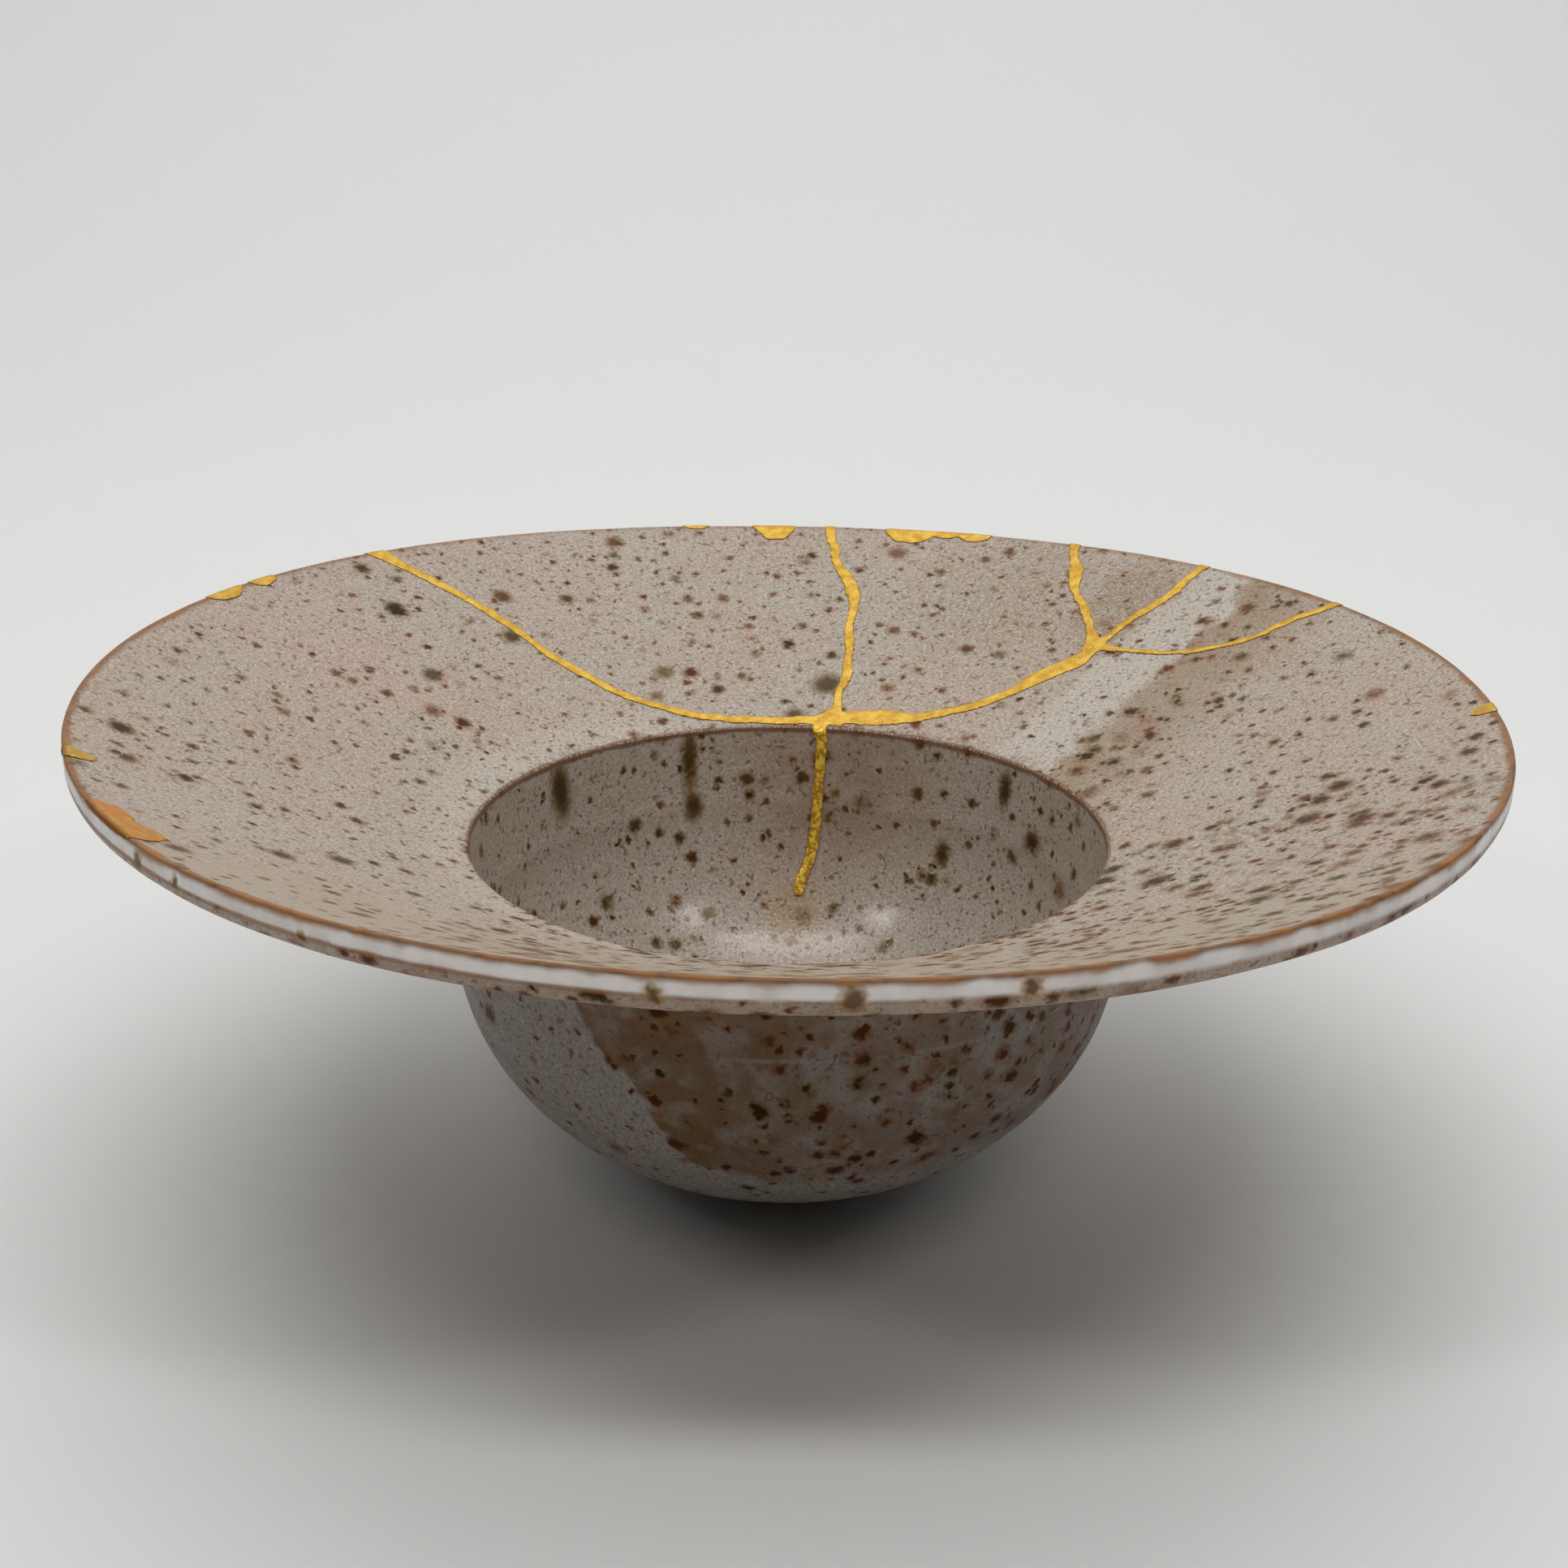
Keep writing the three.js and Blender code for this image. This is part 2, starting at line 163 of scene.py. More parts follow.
SHERDS = ("sherd_back_left", "sherd_back_right", "sherd_right_small", "sherd_right_narrow")


def srgb(red, green, blue):
    """A colour picked on a screen, from 0 to 255, as the linear colour that shaders take."""
    shares = (c / 255 for c in (red, green, blue))
    return (*((c / 12.92 if c <= 0.04045 else ((c + 0.055) / 1.055) ** 2.4) for c in shares), 1)


def length(description, default):
    """A size in metres that a user may change."""
    return FloatProperty(description=description, default=default, min=0, unit="LENGTH", precision=5)


def colour(description, red, green, blue):
    """A colour that a user may change, from its values on a screen, 0 to 255."""
    linear = srgb(red, green, blue)
    return FloatVectorProperty(description=description, default=linear, min=0, max=1, size=4, subtype="COLOR")


class PotSizes(bpy.types.PropertyGroup):
    """Sizes of the thrown pot."""

    rim_radius: length("From the axis to the rim's outer face", -POT_LOW.x)
    rim_height: length("Mean height of the rim's upper edge", 93.5 * MM)
    rim_face: length("Height of the rim's outer face", 5.4 * MM)
    rim_rounding: length("Reach of the rounding at the rim's upper edge", 1.0 * MM)
    rim_under_rounding: length("Reach of the rounding at its lower edge", 2.3 * MM)
    wave_height: length("Height of the rim's slow waves", 1.2 * MM)
    brim_rise: length("From the well's edge up to the rim", 27.6 * MM)
    brim_sag: length("How far the brim dishes below a straight cone", 0.6 * MM)
    brim_wall: length("Upright thickness of the brim at its root", 5.8 * MM)
    well_radius: length("Radius at the sharp edge of the well", 57.8 * MM)
    well_edge_rounding: length("Reach of the rounding at the well's edge", 0.8 * MM)
    well_taper: length("How far the wall closes in below the well's edge", 1.6 * MM)
    neck_drop: length("From the well's edge to where the wall starts to curve in", 17.1 * MM)
    wall: length("Thickness of the well's wall", 4.7 * MM)
    floor_thickness: length("Thickness of the well's floor", 4.8 * MM)
    root_fillet: length("Reach of the hollow under the brim", 11 * MM)
    foot_radius: length("Outer radius at the top of the foot", 19 * MM)
    foot_width: length("Width of the foot ring", 4.4 * MM)
    foot_recess: length("Depth of the hollow inside the foot ring", 1.2 * MM)


class MendSizes(bpy.types.PropertyGroup):
    """Sizes of the gold mend."""

    proud: length("Height of the gold over the glaze", 0.26 * MM)
    well_proud: length("Height of the gold bead in the well", 0.8 * MM)
    raggedness: length("How far the gold's edges stray", 0.3 * MM)
    grain: length("Size of the smallest form in the gold", 0.31 * MM)
    lean: FloatProperty(description="Extra lean of the breaks near the well", default=0.45, min=0)


class GlazeColours(bpy.types.PropertyGroup):
    """Colours of the glaze."""

    grey: colour("Ground colour where it is greyish", 172, 161, 146)
    oat: colour("Ground colour where it is pinkish", 175, 155, 139)
    pink: colour("Pinkish patches on the brim", 182, 156, 143)
    bared: colour("Brown where the glaze is thin on the brim", 150, 127, 100)
    pale: colour("Pale where the glaze is thick on the brim", 188, 179, 167)
    outer_pale: colour("Pale part of the outside", 152, 144, 136)
    outer_oat: colour("Darker clouds in the pale part of the outside", 150, 136, 122)
    outer_brown: colour("Poured glaze on the outside", 126, 107, 92)
    outer_rust: colour("Rust in the poured glaze", 112, 79, 45)
    well: colour("Ground colour in the well", 176, 165, 153)
    well_brown: colour("Browner glaze round the crack", 148, 122, 102)
    well_burnt: colour("Ochre patch under the crack", 172, 134, 84)
    front: colour("Plainer ground at the front of the brim", 166, 151, 128)
    rim_white: colour("Thick white glaze on the rim's face", 240, 234, 230)
    rim_grey: colour("Greyer places in the rim's white", 222, 214, 209)
    rim_rust: colour("Line of rust along the rim", 150, 96, 38)
    rim_burnt: colour("Darker places in the rim's rust", 112, 72, 30)
    rim_blot: colour("Dark blots on the rim's face", 84, 50, 14)
    rim_blot_ring: colour("Rings round the blots on the rim's face", 152, 118, 48)
    well_rust: colour("Line of rust round the well's edge", 104, 66, 36)
    # Painted highlight: the dotted glints of light along the well's sharp edge
    painted_well_edge_glint: colour("Light beads along the well's edge", 196, 172, 140)
    dark_grain: colour("Fine dark grain", 108, 94, 80)
    light_grain: colour("Fine light grain", 208, 200, 192)
    pepper: colour("Small dark specks", 84, 66, 48)
    iron: colour("Cores of the iron spots", 44, 28, 4)
    red_iron: colour("Cores of the more reddish spots", 78, 36, 4)
    halo: colour("Olive rings round the iron spots", 104, 80, 14)
    red_halo: colour("Rings round the more reddish spots", 122, 74, 26)


class GoldColours(bpy.types.PropertyGroup):
    """Colours of the gold."""

    leaf: colour("Gold leaf", 206, 166, 58)
    dull: colour("Gold leaf where it is thinner", 188, 143, 40)
    glint: colour("Brightest flecks in the gold", 234, 204, 116)
    lacquer: colour("Lacquer that shows at the gold's edges", 66, 36, 18)
    # Painted shade and painted highlight on the gold bead in the well, mixed along its rope-like relief
    painted_bead_shade: colour("Duller gold of the bead in the well", 192, 136, 20)
    painted_bead_highlight: colour("Brighter gold of the bead in the well", 255, 222, 84)
    tarnish: colour("Browned gold at the front left", 206, 132, 44)
    rim_line: colour("Rust that runs on over the gold at the rim", 140, 90, 38)


def mix(a, b, share):
    """The value at a share of the way between two others."""
    return a + (b - a) * share


def smooth_step(low, high, value):
    """A smooth rise from 0 to 1 while a value goes from low to high."""
    share = min(1.0, max(0.0, (value - low) / (high - low)))
    return share * share * (3 - 2 * share)


def rounded_corner(before, corner, after, reach, steps):
    """Points that round a corner between two neighbours, from a reach before it to a reach after it."""
    start = corner + (before - corner).normalized() * reach
    end = corner + (after - corner).normalized() * reach
    return [start.lerp(corner, t).lerp(corner.lerp(end, t), t) for t in (i / steps for i in range(steps + 1))]


def ellipse_arc(radius, centre_height, depth, from_radius, steps):
    """A quarter of an ellipse below its centre, from a radius out to its full radius."""
    first = math.asin(from_radius / radius)
    angles = (mix(first, math.pi / 2, i / steps) for i in range(steps + 1))
    return [Vector((radius * math.sin(a), 0, centre_height - depth * math.cos(a))) for a in angles]


def stepped(points, step):
    """The same line with more points, no further apart than a step."""
    line = [points[0]]
    for start, end in zip(points, points[1:]):
        count = max(1, math.ceil((end - start).length / step))
        line += [start.lerp(end, (i + 1) / count) for i in range(count)]
    return line


class Pot:
    """The pot's form, worked out from its sizes."""

    def __init__(self, sizes, mend):
        self.s = sizes
        self.mend = mend
        self.well_edge = sizes.rim_height - sizes.brim_rise
        self.belly_height = self.well_edge - sizes.neck_drop
        self.inner_belly = sizes.well_radius - sizes.well_taper
        self.outer_belly = self.inner_belly + sizes.wall
        self.slope = sizes.brim_rise / (sizes.rim_radius - sizes.well_radius)

    def share(self, radius):
        """How far a radius lies from the well's edge to the rim."""
        return (radius - self.s.well_radius) / (self.s.rim_radius - self.s.well_radius)

    def radius_at(self, share):
        return mix(self.s.well_radius, self.s.rim_radius, share)

    def brim_top(self, radius):
        """Height of the brim's upper face, without the rim's waves."""
        share = self.share(radius)
        return self.well_edge + self.s.brim_rise * share - 4 * self.s.brim_sag * share * (1 - share)

    def wave(self, x, y):
        """Height of the rim's slow waves, growing from none at the well's edge."""
        angle = math.atan2(y, x)
        height = sum(c * math.cos(n * angle) + s * math.sin(n * angle) for n, c, s in RIM_WAVES)
        return self.s.wave_height * height * max(0.0, self.share(math.hypot(x, y))) ** WAVE_GROWTH

    def break_radius(self, radius, height):
        """How far out a break that shows at a radius has got to at a height in the wall."""
        lean = self.slope + self.mend.lean * max(0.0, 1 - self.share(radius)) ** LEAN_FADE
        return radius + lean * (self.brim_top(radius) - height)

    def profile(self):
        """The section, from the underside's centre, out and up to the rim, and back down into the well."""
        s = self.s
        centre = Vector((0, 0, s.foot_recess))
        hollow = Vector((s.foot_radius - s.foot_width, 0, s.foot_recess))
        foot_in = Vector((s.foot_radius - s.foot_width + FOOT_INNER_DRAFT, 0, 0))
        foot_out = Vector((s.foot_radius - FOOT_OUTER_DRAFT, 0, 0))
        belly = ellipse_arc(self.outer_belly, self.belly_height, self.belly_height, s.foot_radius, steps=48)
        root = Vector((self.outer_belly, 0, self.brim_top(self.outer_belly) - s.brim_wall))
        rim_low = Vector((s.rim_radius, 0, s.rim_height - s.rim_face))
        rim_high = Vector((s.rim_radius, 0, s.rim_height))
        brim = [
            Vector((r, 0, self.brim_top(r)))
            for r in (mix(s.rim_radius, s.well_radius, i / BRIM_STEPS) for i in range(1, BRIM_STEPS))
        ]
        well_edge = Vector((s.well_radius, 0, self.well_edge))
        depth = self.belly_height - s.foot_recess - s.floor_thickness
        well = ellipse_arc(self.inner_belly, self.belly_height, depth, from_radius=0, steps=52)
        return (
            stepped([centre, hollow], step=4 * MM)[:-1]
            + rounded_corner(centre, hollow, foot_in, reach=0.5 * MM, steps=3)
            + rounded_corner(hollow, foot_in, foot_out, reach=0.4 * MM, steps=3)
            + rounded_corner(foot_in, foot_out, belly[0], reach=0.7 * MM, steps=4)
            + belly
            + rounded_corner(belly[-1], root, rim_low, s.root_fillet, steps=14)
            + stepped(
                rounded_corner(root, rim_low, rim_high, s.rim_under_rounding, steps=8)
                + rounded_corner(rim_low, rim_high, brim[0], s.rim_rounding, steps=6),
                step=1 * MM,
            )
            + brim
            + rounded_corner(brim[-1], well_edge, well[-1], s.well_edge_rounding, steps=5)
            + stepped([well_edge.lerp(well[-1], 0.08), *reversed(well)], step=1.6 * MM)
        )

    def surface_relief(self, at, along):
        """Low throwing rings, and below the brim the raised neck line and the trimming line."""

        def line(place, half_width, height):
            return height * math.exp(-(((at.z - place * MM) / (half_width * MM)) ** 2))

        relief = sum(height * math.sin(along / (run * MM) + phase) for height, run, phase in THROWING_RINGS)
        if at.z < self.brim_top(at.x) - 3 * MM and at.x > 0.5 * self.inner_belly:
            relief = relief + line(*NECK_LINE) + line(*TRIMMING_LINE)
        return relief * MM * smooth_step(*RELIEF_STARTS, at.z)

    def thrown(self, name, skin=0.0, well_skin=0.0):
        """The pot as a closed mesh, or the pot grown by a skin."""
        line = stepped(self.profile(), PROFILE_STEP)
        moved = []
        along = 0.0
        for i, at in enumerate(line):
            if i in (0, len(line) - 1):
                moved.append(at.copy())
                continue
            along += (at - line[i - 1]).length
            run = (line[i + 1] - line[i - 1]).normalized()
            outward = Vector((run.z, 0, -run.x))
            faces_axis = outward.x < 0.1 and i > len(line) / 2
            in_well = faces_axis and at.x < self.s.well_radius and at.z > self.s.foot_recess
            growth = (well_skin if in_well else skin) * smooth_step(*SKIN_STARTS, at.z)
            moved.append(at + outward * (self.surface_relief(at, along) + growth))
        bm = bmesh.new()
        points = [bm.verts.new(at) for at in moved]
        edges = [bm.edges.new(pair) for pair in zip(points, points[1:])]
        bmesh.ops.spin(
            bm, geom=points + edges, cent=(0,) * 3, axis=(0, 0, 1), angle=math.tau, steps=SIDES, use_merge=True
        )
        bmesh.ops.remove_doubles(bm, verts=bm.verts, dist=0.01 * MM)
        bmesh.ops.recalc_face_normals(bm, faces=bm.faces)
        bm.normal_update()
        for vertex in bm.verts:
            at = vertex.co
            uneven = sum(height * noise.noise(at / (size * MM)) for height, size in UNEVENNESS)
            shift = vertex.normal * uneven * smooth_step(*UNEVEN_STARTS, at.z) * MM
            vertex.co = at + shift + Vector((0, 0, self.wave(at.x, at.y)))
        return object_from(bm, name)


def object_from(bm, name):
    """A new object that holds a bmesh, and frees it."""
    mesh = bpy.data.meshes.new(name)
    bm.to_mesh(mesh)
    bm.free()
    piece = bpy.data.objects.new(name, mesh)
    bpy.context.scene.collection.objects.link(piece)
    return piece


def apply_modifiers(piece):
    """Bakes a piece's modifiers into its mesh."""
    graph = bpy.context.evaluated_depsgraph_get()
    mesh = bpy.data.meshes.new_from_object(piece.evaluated_get(graph))
    piece.modifiers.clear()
    old = piece.data
    piece.data = mesh
    bpy.data.meshes.remove(old)
    mesh.name = piece.name


def carve(piece, operation, tools):
    """Cuts a piece with other solids, or joins it to them, and bakes the result."""
    for tool in tools:
        modifier = piece.modifiers.new("carve", "BOOLEAN")
        modifier.operation = operation
        modifier.solver = "MANIFOLD"
        modifier.object = tool
    apply_modifiers(piece)


def discard(*pieces):
    """Removes pieces that have done their work as tools."""
    for piece in pieces:
        bpy.data.objects.remove(piece)


def curve_through(stops, step):
    """A smooth line through stops, which are vectors, with a point at about every step."""
    padded = [2 * stops[0] - stops[1], *stops, 2 * stops[-1] - stops[-2]]
    line = []
    for a, b, c, d in zip(padded, padded[1:], padded[2:], padded[3:]):
        count = max(1, round((c - b).length / step))
        for i in range(count):
            t = i / count
            square = (2 * a - 5 * b + 4 * c - d) * t**2
            cube = (3 * b - a - 3 * c + d) * t**3
            line.append(0.5 * (2 * b + (c - a) * t + square + cube))
    return [*line, stops[-1]]


def ribbon(stops, depth, ragged, seed):
    """A slab on the XY plane along stops of x, y and width, with edges that stray a little.

    The seed is the slab's place in the noise.
    """
    line = curve_through(stops, POINTS_APART * MM)
    count = len(line) - 1
    bm = bmesh.new()
    bmesh.ops.create_grid(bm, x_segments=count, y_segments=1, size=1)
    for vertex in bm.verts:
        i = round((vertex.co.x + 1) / 2 * count)
        side = 1 if vertex.co.y > 0 else -1
        run = (line[min(i + 1, count)] - line[max(i - 1, 0)]).xy.normalized()
        across = Vector((-run.y, run.x, 0)) * side
        at = Vector((*line[i].xy, 0))
        place = Vector((i * POINTS_APART, EDGE_OFFSET * side, seed))
        stray = sum(weight * noise.noise(place / run) for weight, run in STRAYING)
        vertex.co = at + across * (line[i].z / 2 + stray * ragged)
    bottom = bm.faces[:]
    top = bmesh.ops.extrude_face_region(bm, geom=bottom)["geom"]
    bmesh.ops.translate(bm, verts=[v for v in top if isinstance(v, bmesh.types.BMVert)], vec=(0, 0, depth))
    bmesh.ops.recalc_face_normals(bm, faces=bm.faces)
    return bm


def break_slab(pot, name, margin):
    """A break through the brim, as a slab that leans with it."""
    stops = []
    for share, degrees, width in BREAKS[name]:
        radius = pot.radius_at(share)
        angle = math.radians(degrees)
        stops.append(Vector((radius * math.cos(angle), radius * math.sin(angle), width * MM + 2 * margin)))
    seed = BREAKS_APART * list(BREAKS).index(name)
    # The slab starts and ends two walls clear of the brim
    low = pot.well_edge - 2 * pot.s.brim_wall
    bm = ribbon(stops, pot.s.brim_rise + 4 * pot.s.brim_wall, pot.mend.raggedness, seed)
    for vertex in bm.verts:
        height = low + vertex.co.z
        radius = vertex.co.xy.length
        moved = pot.break_radius(radius, height) / radius
        vertex.co = Vector((vertex.co.x * moved, vertex.co.y * moved, height))
    return object_from(bm, "break_" + name)


def crack_slab(pot, margin):
    """The crack through the back of the well, ending in the break that runs round the well's edge."""
    stops = [Vector((x * MM, -down * MM, width * MM + 2 * margin)) for x, down, width in WELL_CRACK]
    bm = ribbon(stops, 1.0, CRACK_STRAYING * pot.mend.raggedness, CRACK_PLACE)
    hub = pot.radius_at(HUB)
    # The slab's two faces, which are one unit apart, are set inside the well and beyond its wall
    for vertex in bm.verts:
        height = pot.well_edge + vertex.co.y
        inner = vertex.co.z < 0.5
        y = pot.inner_belly / 2 if inner else pot.break_radius(hub, height)
        vertex.co = Vector((vertex.co.x, y, height))
    bmesh.ops.recalc_face_normals(bm, faces=bm.faces)
    return object_from(bm, "crack")


def flake(pot, degrees, lobes, margin):
    """A shell-shaped flake off the rim's upper edge, with an uneven outline."""
    parts = []
    for along, span, inward, down in lobes:
        angle = math.radians(degrees) + along * MM / pot.s.rim_radius
        x = pot.s.rim_radius * math.cos(angle)
        y = pot.s.rim_radius * math.sin(angle)
        bm = bmesh.new()
        bmesh.ops.create_icosphere(bm, subdivisions=4, radius=1)
        size = Vector((inward * MM + margin, span / 2 * MM + margin, down * MM + margin))
        for vertex in bm.verts:
            lump = noise.noise(vertex.co * FLAKE_LUMPS + Vector((degrees, along, 0)))
            uneven = 1 + FLAKE_UNEVENNESS * lump
            vertex.co = Vector(c * s for c, s in zip(vertex.co, size)) * uneven
        tilt = Matrix.Rotation(angle, 4, "Z") @ Matrix.Rotation(-math.atan(pot.slope), 4, "Y")
        place = Matrix.Translation((x, y, pot.s.rim_height + pot.wave(x, y)))
        bmesh.ops.transform(bm, matrix=place @ tilt, verts=bm.verts)
        parts.append(object_from(bm, "flake"))
    if len(parts) > 1:
        carve(parts[0], "UNION", parts[1:])
        discard(*parts[1:])
    return parts[0]


def islands(piece):
    """The separate solids of a mesh, each as a list of face numbers, largest first."""
    bm = bmesh.new()
    bm.from_mesh(piece.data)
    bm.faces.ensure_lookup_table()
    seen = set()
    found = []
    for face in bm.faces:
        if face.index in seen:
            continue
        seen.add(face.index)
        group = [face]
        for current in group:
            for edge in current.edges:
                for other in edge.link_faces:
                    if other.index not in seen:
                        seen.add(other.index)
                        group.append(other)
        found.append([f.index for f in group])
    bm.free()
    return sorted(found, key=len, reverse=True)


def part_of(piece, faces, name):
    """A new object with some faces of a piece."""
    bm = bmesh.new()
    bm.from_mesh(piece.data)
    kept = set(faces)
    bmesh.ops.delete(bm, geom=[f for f in bm.faces if f.index not in kept], context="FACES")
    return object_from(bm, name)


def finish_piece(piece, material, slot, *nodes):
    """Shades a piece, gives it its material and sets it in the frame in place of CAD nodes."""
    piece.data.materials.clear()
    piece.data.materials.append(material)
    piece.data.polygons.foreach_set("use_smooth", [True] * len(piece.data.polygons))
    piece.data.set_sharp_from_angle(angle=SHARP_ANGLE)
    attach(piece, "root")
    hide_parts(*nodes)


def note_lift(piece, under):
    """Gives every vertex its height over the glaze, for the gold's edges."""
    lifts = []
    for vertex in piece.data.vertices:
        at, normal, _, _ = under.find_nearest(vertex.co)
        lifts.append((vertex.co - at).dot(normal))
    piece.data.attributes.new("lift", "FLOAT", "POINT").data.foreach_set("value", lifts)


def note_place(piece, pot):
    """Gives every vertex its height without the rim's waves, and tells the pot's inside from its outside."""
    levels = []
    sides = []
    middle = pot.inner_belly + pot.s.wall / 2
    drop = pot.belly_height - (pot.s.foot_recess + pot.s.floor_thickness) / 2
    for vertex in piece.data.vertices:
        at = vertex.co
        radius = at.xy.length
        level = at.z - pot.wave(at.x, at.y)
        levels.append(level)
        if level <= pot.belly_height:
            depth = (1 - math.hypot(radius / middle, (pot.belly_height - level) / drop)) * middle
        elif radius > pot.s.well_radius:
            depth = level - pot.brim_top(radius) + pot.s.brim_wall / 2
        else:
            depth = middle - radius
        sides.append(smooth_step(-INSIDE_BLEND, INSIDE_BLEND, depth))
    piece.data.attributes.new("level", "FLOAT", "POINT").data.foreach_set("value", levels)
    piece.data.attributes.new("inside", "FLOAT", "POINT").data.foreach_set("value", sides)


def current_pot(context):
    """The pot with the sizes that are set in the scene."""
    return Pot(context.scene.kintsugi_pot, context.scene.kintsugi_mend)


class Shader:
    """Builds the nodes of one material or world."""

    def __init__(self, owner):
        owner.use_nodes = True
        self.tree = owner.node_tree

    def node(self, kind, settings=None, inputs=None):
        """A new node with its settings, and its inputs by name, identifier or number."""
        node = self.tree.nodes.new(kind)
        for name, value in (settings or {}).items():
            setattr(node, name, value)
        for key, value in (inputs or {}).items():
            self.put(self.input_of(node, key), value)
        return node

    def input_of(self, node, key):
        """A node's input by its number, identifier or name."""
        if isinstance(key, int):
            return node.inputs[key]
        return next(i for i in node.inputs if key in (i.identifier, i.name))

    def put(self, socket, value):
        """Links a value to a socket, or sets a plain one."""
        if isinstance(value, Value):
            self.tree.links.new(value.socket, socket)
        else:
            socket.default_value = value

    def fill(self, name, inputs):
        """Sets the inputs of a node that was there from the start."""
        for key, value in inputs.items():
            self.put(self.input_of(self.tree.nodes[name], key), value)

    def value(self, kind, settings=None, inputs=None, output=0):
        """One output of a new node."""
        return Value(self, self.node(kind, settings, inputs).outputs[output])

    def math(self, operation, *values):
        return self.value("ShaderNodeMath", {"operation": operation}, dict(enumerate(values)))

    def vector(self, operation, *values, output=0):
        return self.value("ShaderNodeVectorMath", {"operation": operation}, dict(enumerate(values)), output)

    def resized(self, place, factor):
        return self.value("ShaderNodeVectorMath", {"operation": "SCALE"}, {0: place, "Scale": factor})

    def stretched(self, place, factors):
        return self.vector("MULTIPLY", place, factors)

    def distance(self, place, centre):
        return self.vector("DISTANCE", place, centre, output=1)

    def greatest(self, *values):
        """The greatest of some numbers."""
        result = values[0]
        for value in values[1:]:
            result = self.math("MAXIMUM", result, value)
        return result

    def ramp(self, value, low, high, to_low=0.0, to_high=1.0):
        """A smooth change from one value to another while the input goes from low to high."""
        inputs = {"Value": value, "From Min": low, "From Max": high, "To Min": to_low, "To Max": to_high}
        return self.value("ShaderNodeMapRange", {"interpolation_type": "SMOOTHSTEP"}, inputs)

    def blend(self, share, a, b):
        """A colour between two others."""
        inputs = {"Factor_Float": share, "A_Color": a, "B_Color": b}
        return self.value("ShaderNodeMix", {"data_type": "RGBA"}, inputs, 2)

    def noise(self, place, size, detail=2.0, output=0):
        """Cloudy noise with forms of about a size, about 0.5 on the whole."""
        inputs = {"Vector": place, "Scale": 1 / size, "Detail": detail}
        return self.value("ShaderNodeTexNoise", {}, inputs, output)

    def drift(self, place, size, detail):
        """A shift that wanders in all three directions, about zero."""
        return self.vector("SUBTRACT", self.noise(place, size, detail, output=1), (0.5, 0.5, 0.5))

    def bump(self, strength, distance, height):
        inputs = {"Strength": strength, "Distance": distance, "Height": height}
        return self.value("ShaderNodeBump", {}, inputs)

    def attribute(self, name):
        return self.value("ShaderNodeAttribute", {"attribute_name": name}, output=2)

    def place_in_mm(self):
        """The place on the piece, in millimetres."""
        return self.resized(Value(self, self.node("ShaderNodeTexCoord").outputs["Object"]), 1000.0)

    def parts_of(self, place):
        """The three parts of a vector or colour."""
        node = self.node("ShaderNodeSeparateXYZ", {}, {0: place})
        return [Value(self, socket) for socket in node.outputs]


class Value:
    """A socket that Python's arithmetic extends with maths nodes."""

    def __init__(self, shader, socket):
        self.shader = shader
        self.socket = socket


def arithmetic(operation, swapped):
    """A method for one of Python's signs, which adds a maths node."""

    def method(self, other):
        pair = (other, self) if swapped else (self, other)
        return self.shader.math(operation, *pair)

    return method


SIGNS = {"add": "ADD", "sub": "SUBTRACT", "mul": "MULTIPLY", "truediv": "DIVIDE", "pow": "POWER"}
for sign, node_operation in SIGNS.items():
    setattr(Value, f"__{sign}__", arithmetic(node_operation, False))
    setattr(Value, f"__r{sign}__", arithmetic(node_operation, True))


# Marks of iron in the glaze that stand out, by place and radius in millimetres. Those on the brim also have a
# strength, and the drips in the well a stretch down the wall.
BRIM_BLOTS = (
    (7.4, 71, 3.0, 0.75), (-21.5, 72.8, 1.7, 1), (-15.2, 68.1, 1.4, 0.9), (-61.8, 85.6, 2.0, 0.8),
    (-81.6, 69.5, 2.3, 1), (-64.5, 38.6, 1.6, 1), (-0.9, 83.9, 1.4, 0.95), (67, 44, 1.3, 0.9),
    (36.4, 78.4, 1.4, 0.8), (-114.6, -18.6, 2.2, 0.9), (-101.4, -29.7, 1.5, 0.9),
)
RIM_BLOTS = (
    (-16.4, -123.9, 1.4), (9.6, -124.6, 1.8), (33.2, -120.5, 1.4), (-95.4, -80.7, 1.5), (-88, -88.7, 1.2),
    (-66.2, -106, 0.9),
)
WELL_DRIPS = (
    (-45, 35, 60, 2.3, 2.2), (-21, 54, 58, 1.6, 5), (-20, 52.5, 50, 1.8, 1.5), (31, 46.5, 43, 1.5, 1.6),
    (43, 38.5, 60, 1.4, 2.4), (33, 45, 37, 1.4, 1.3),
)
RIM_BLOT_LEVEL = 91.6
RIM_BLOT_SQUASH = 0.8  # the blots are taller than wide by as much

# Iron spots in three sizes: how far apart, the largest radius, and the share of places without one
IRON_SPOTS = ((10.5, 2.5, 0.5), (5.8, 1.6, 0.68), (3.3, 0.95, 0.76))

# Patches of another colour: centre, reach and softness in millimetres
BARED_SHERD = ((73, 80, 0), 14, 5)
BARED_BESIDE = ((48, 92, 0), 20, 12)
PINK_LEFT = ((-93, 46, 0), 19, 9)
PINK_BACK = ((-48, 100, 0), 16, 12)
TANNED_WELL = ((10, 56, 0), 17, 14)
BURNT_WELL = ((1, 49, 28), 6, 4)

# Lines round the pot: radius, level without the rim's waves, and half width in millimetres
WELL_EDGE_RUST = (57.7, 65.6, 1.15)
# Where the painted highlight runs: dotted glints along the well's sharp edge
PAINTED_WELL_EDGE_GLINTS = (57.9, 65.95, 0.36)
RIM_TOP_RUST = (124.7, 93.75, 2.1)
RIM_LOW_RUST = (124.8, 90.0, 0.6)

DIAGONAL = 0.7071  # x and y shares of a direction at 45 degrees
LEVEL_PLANE = (1, 1, 0)  # flattens a place to its x and y


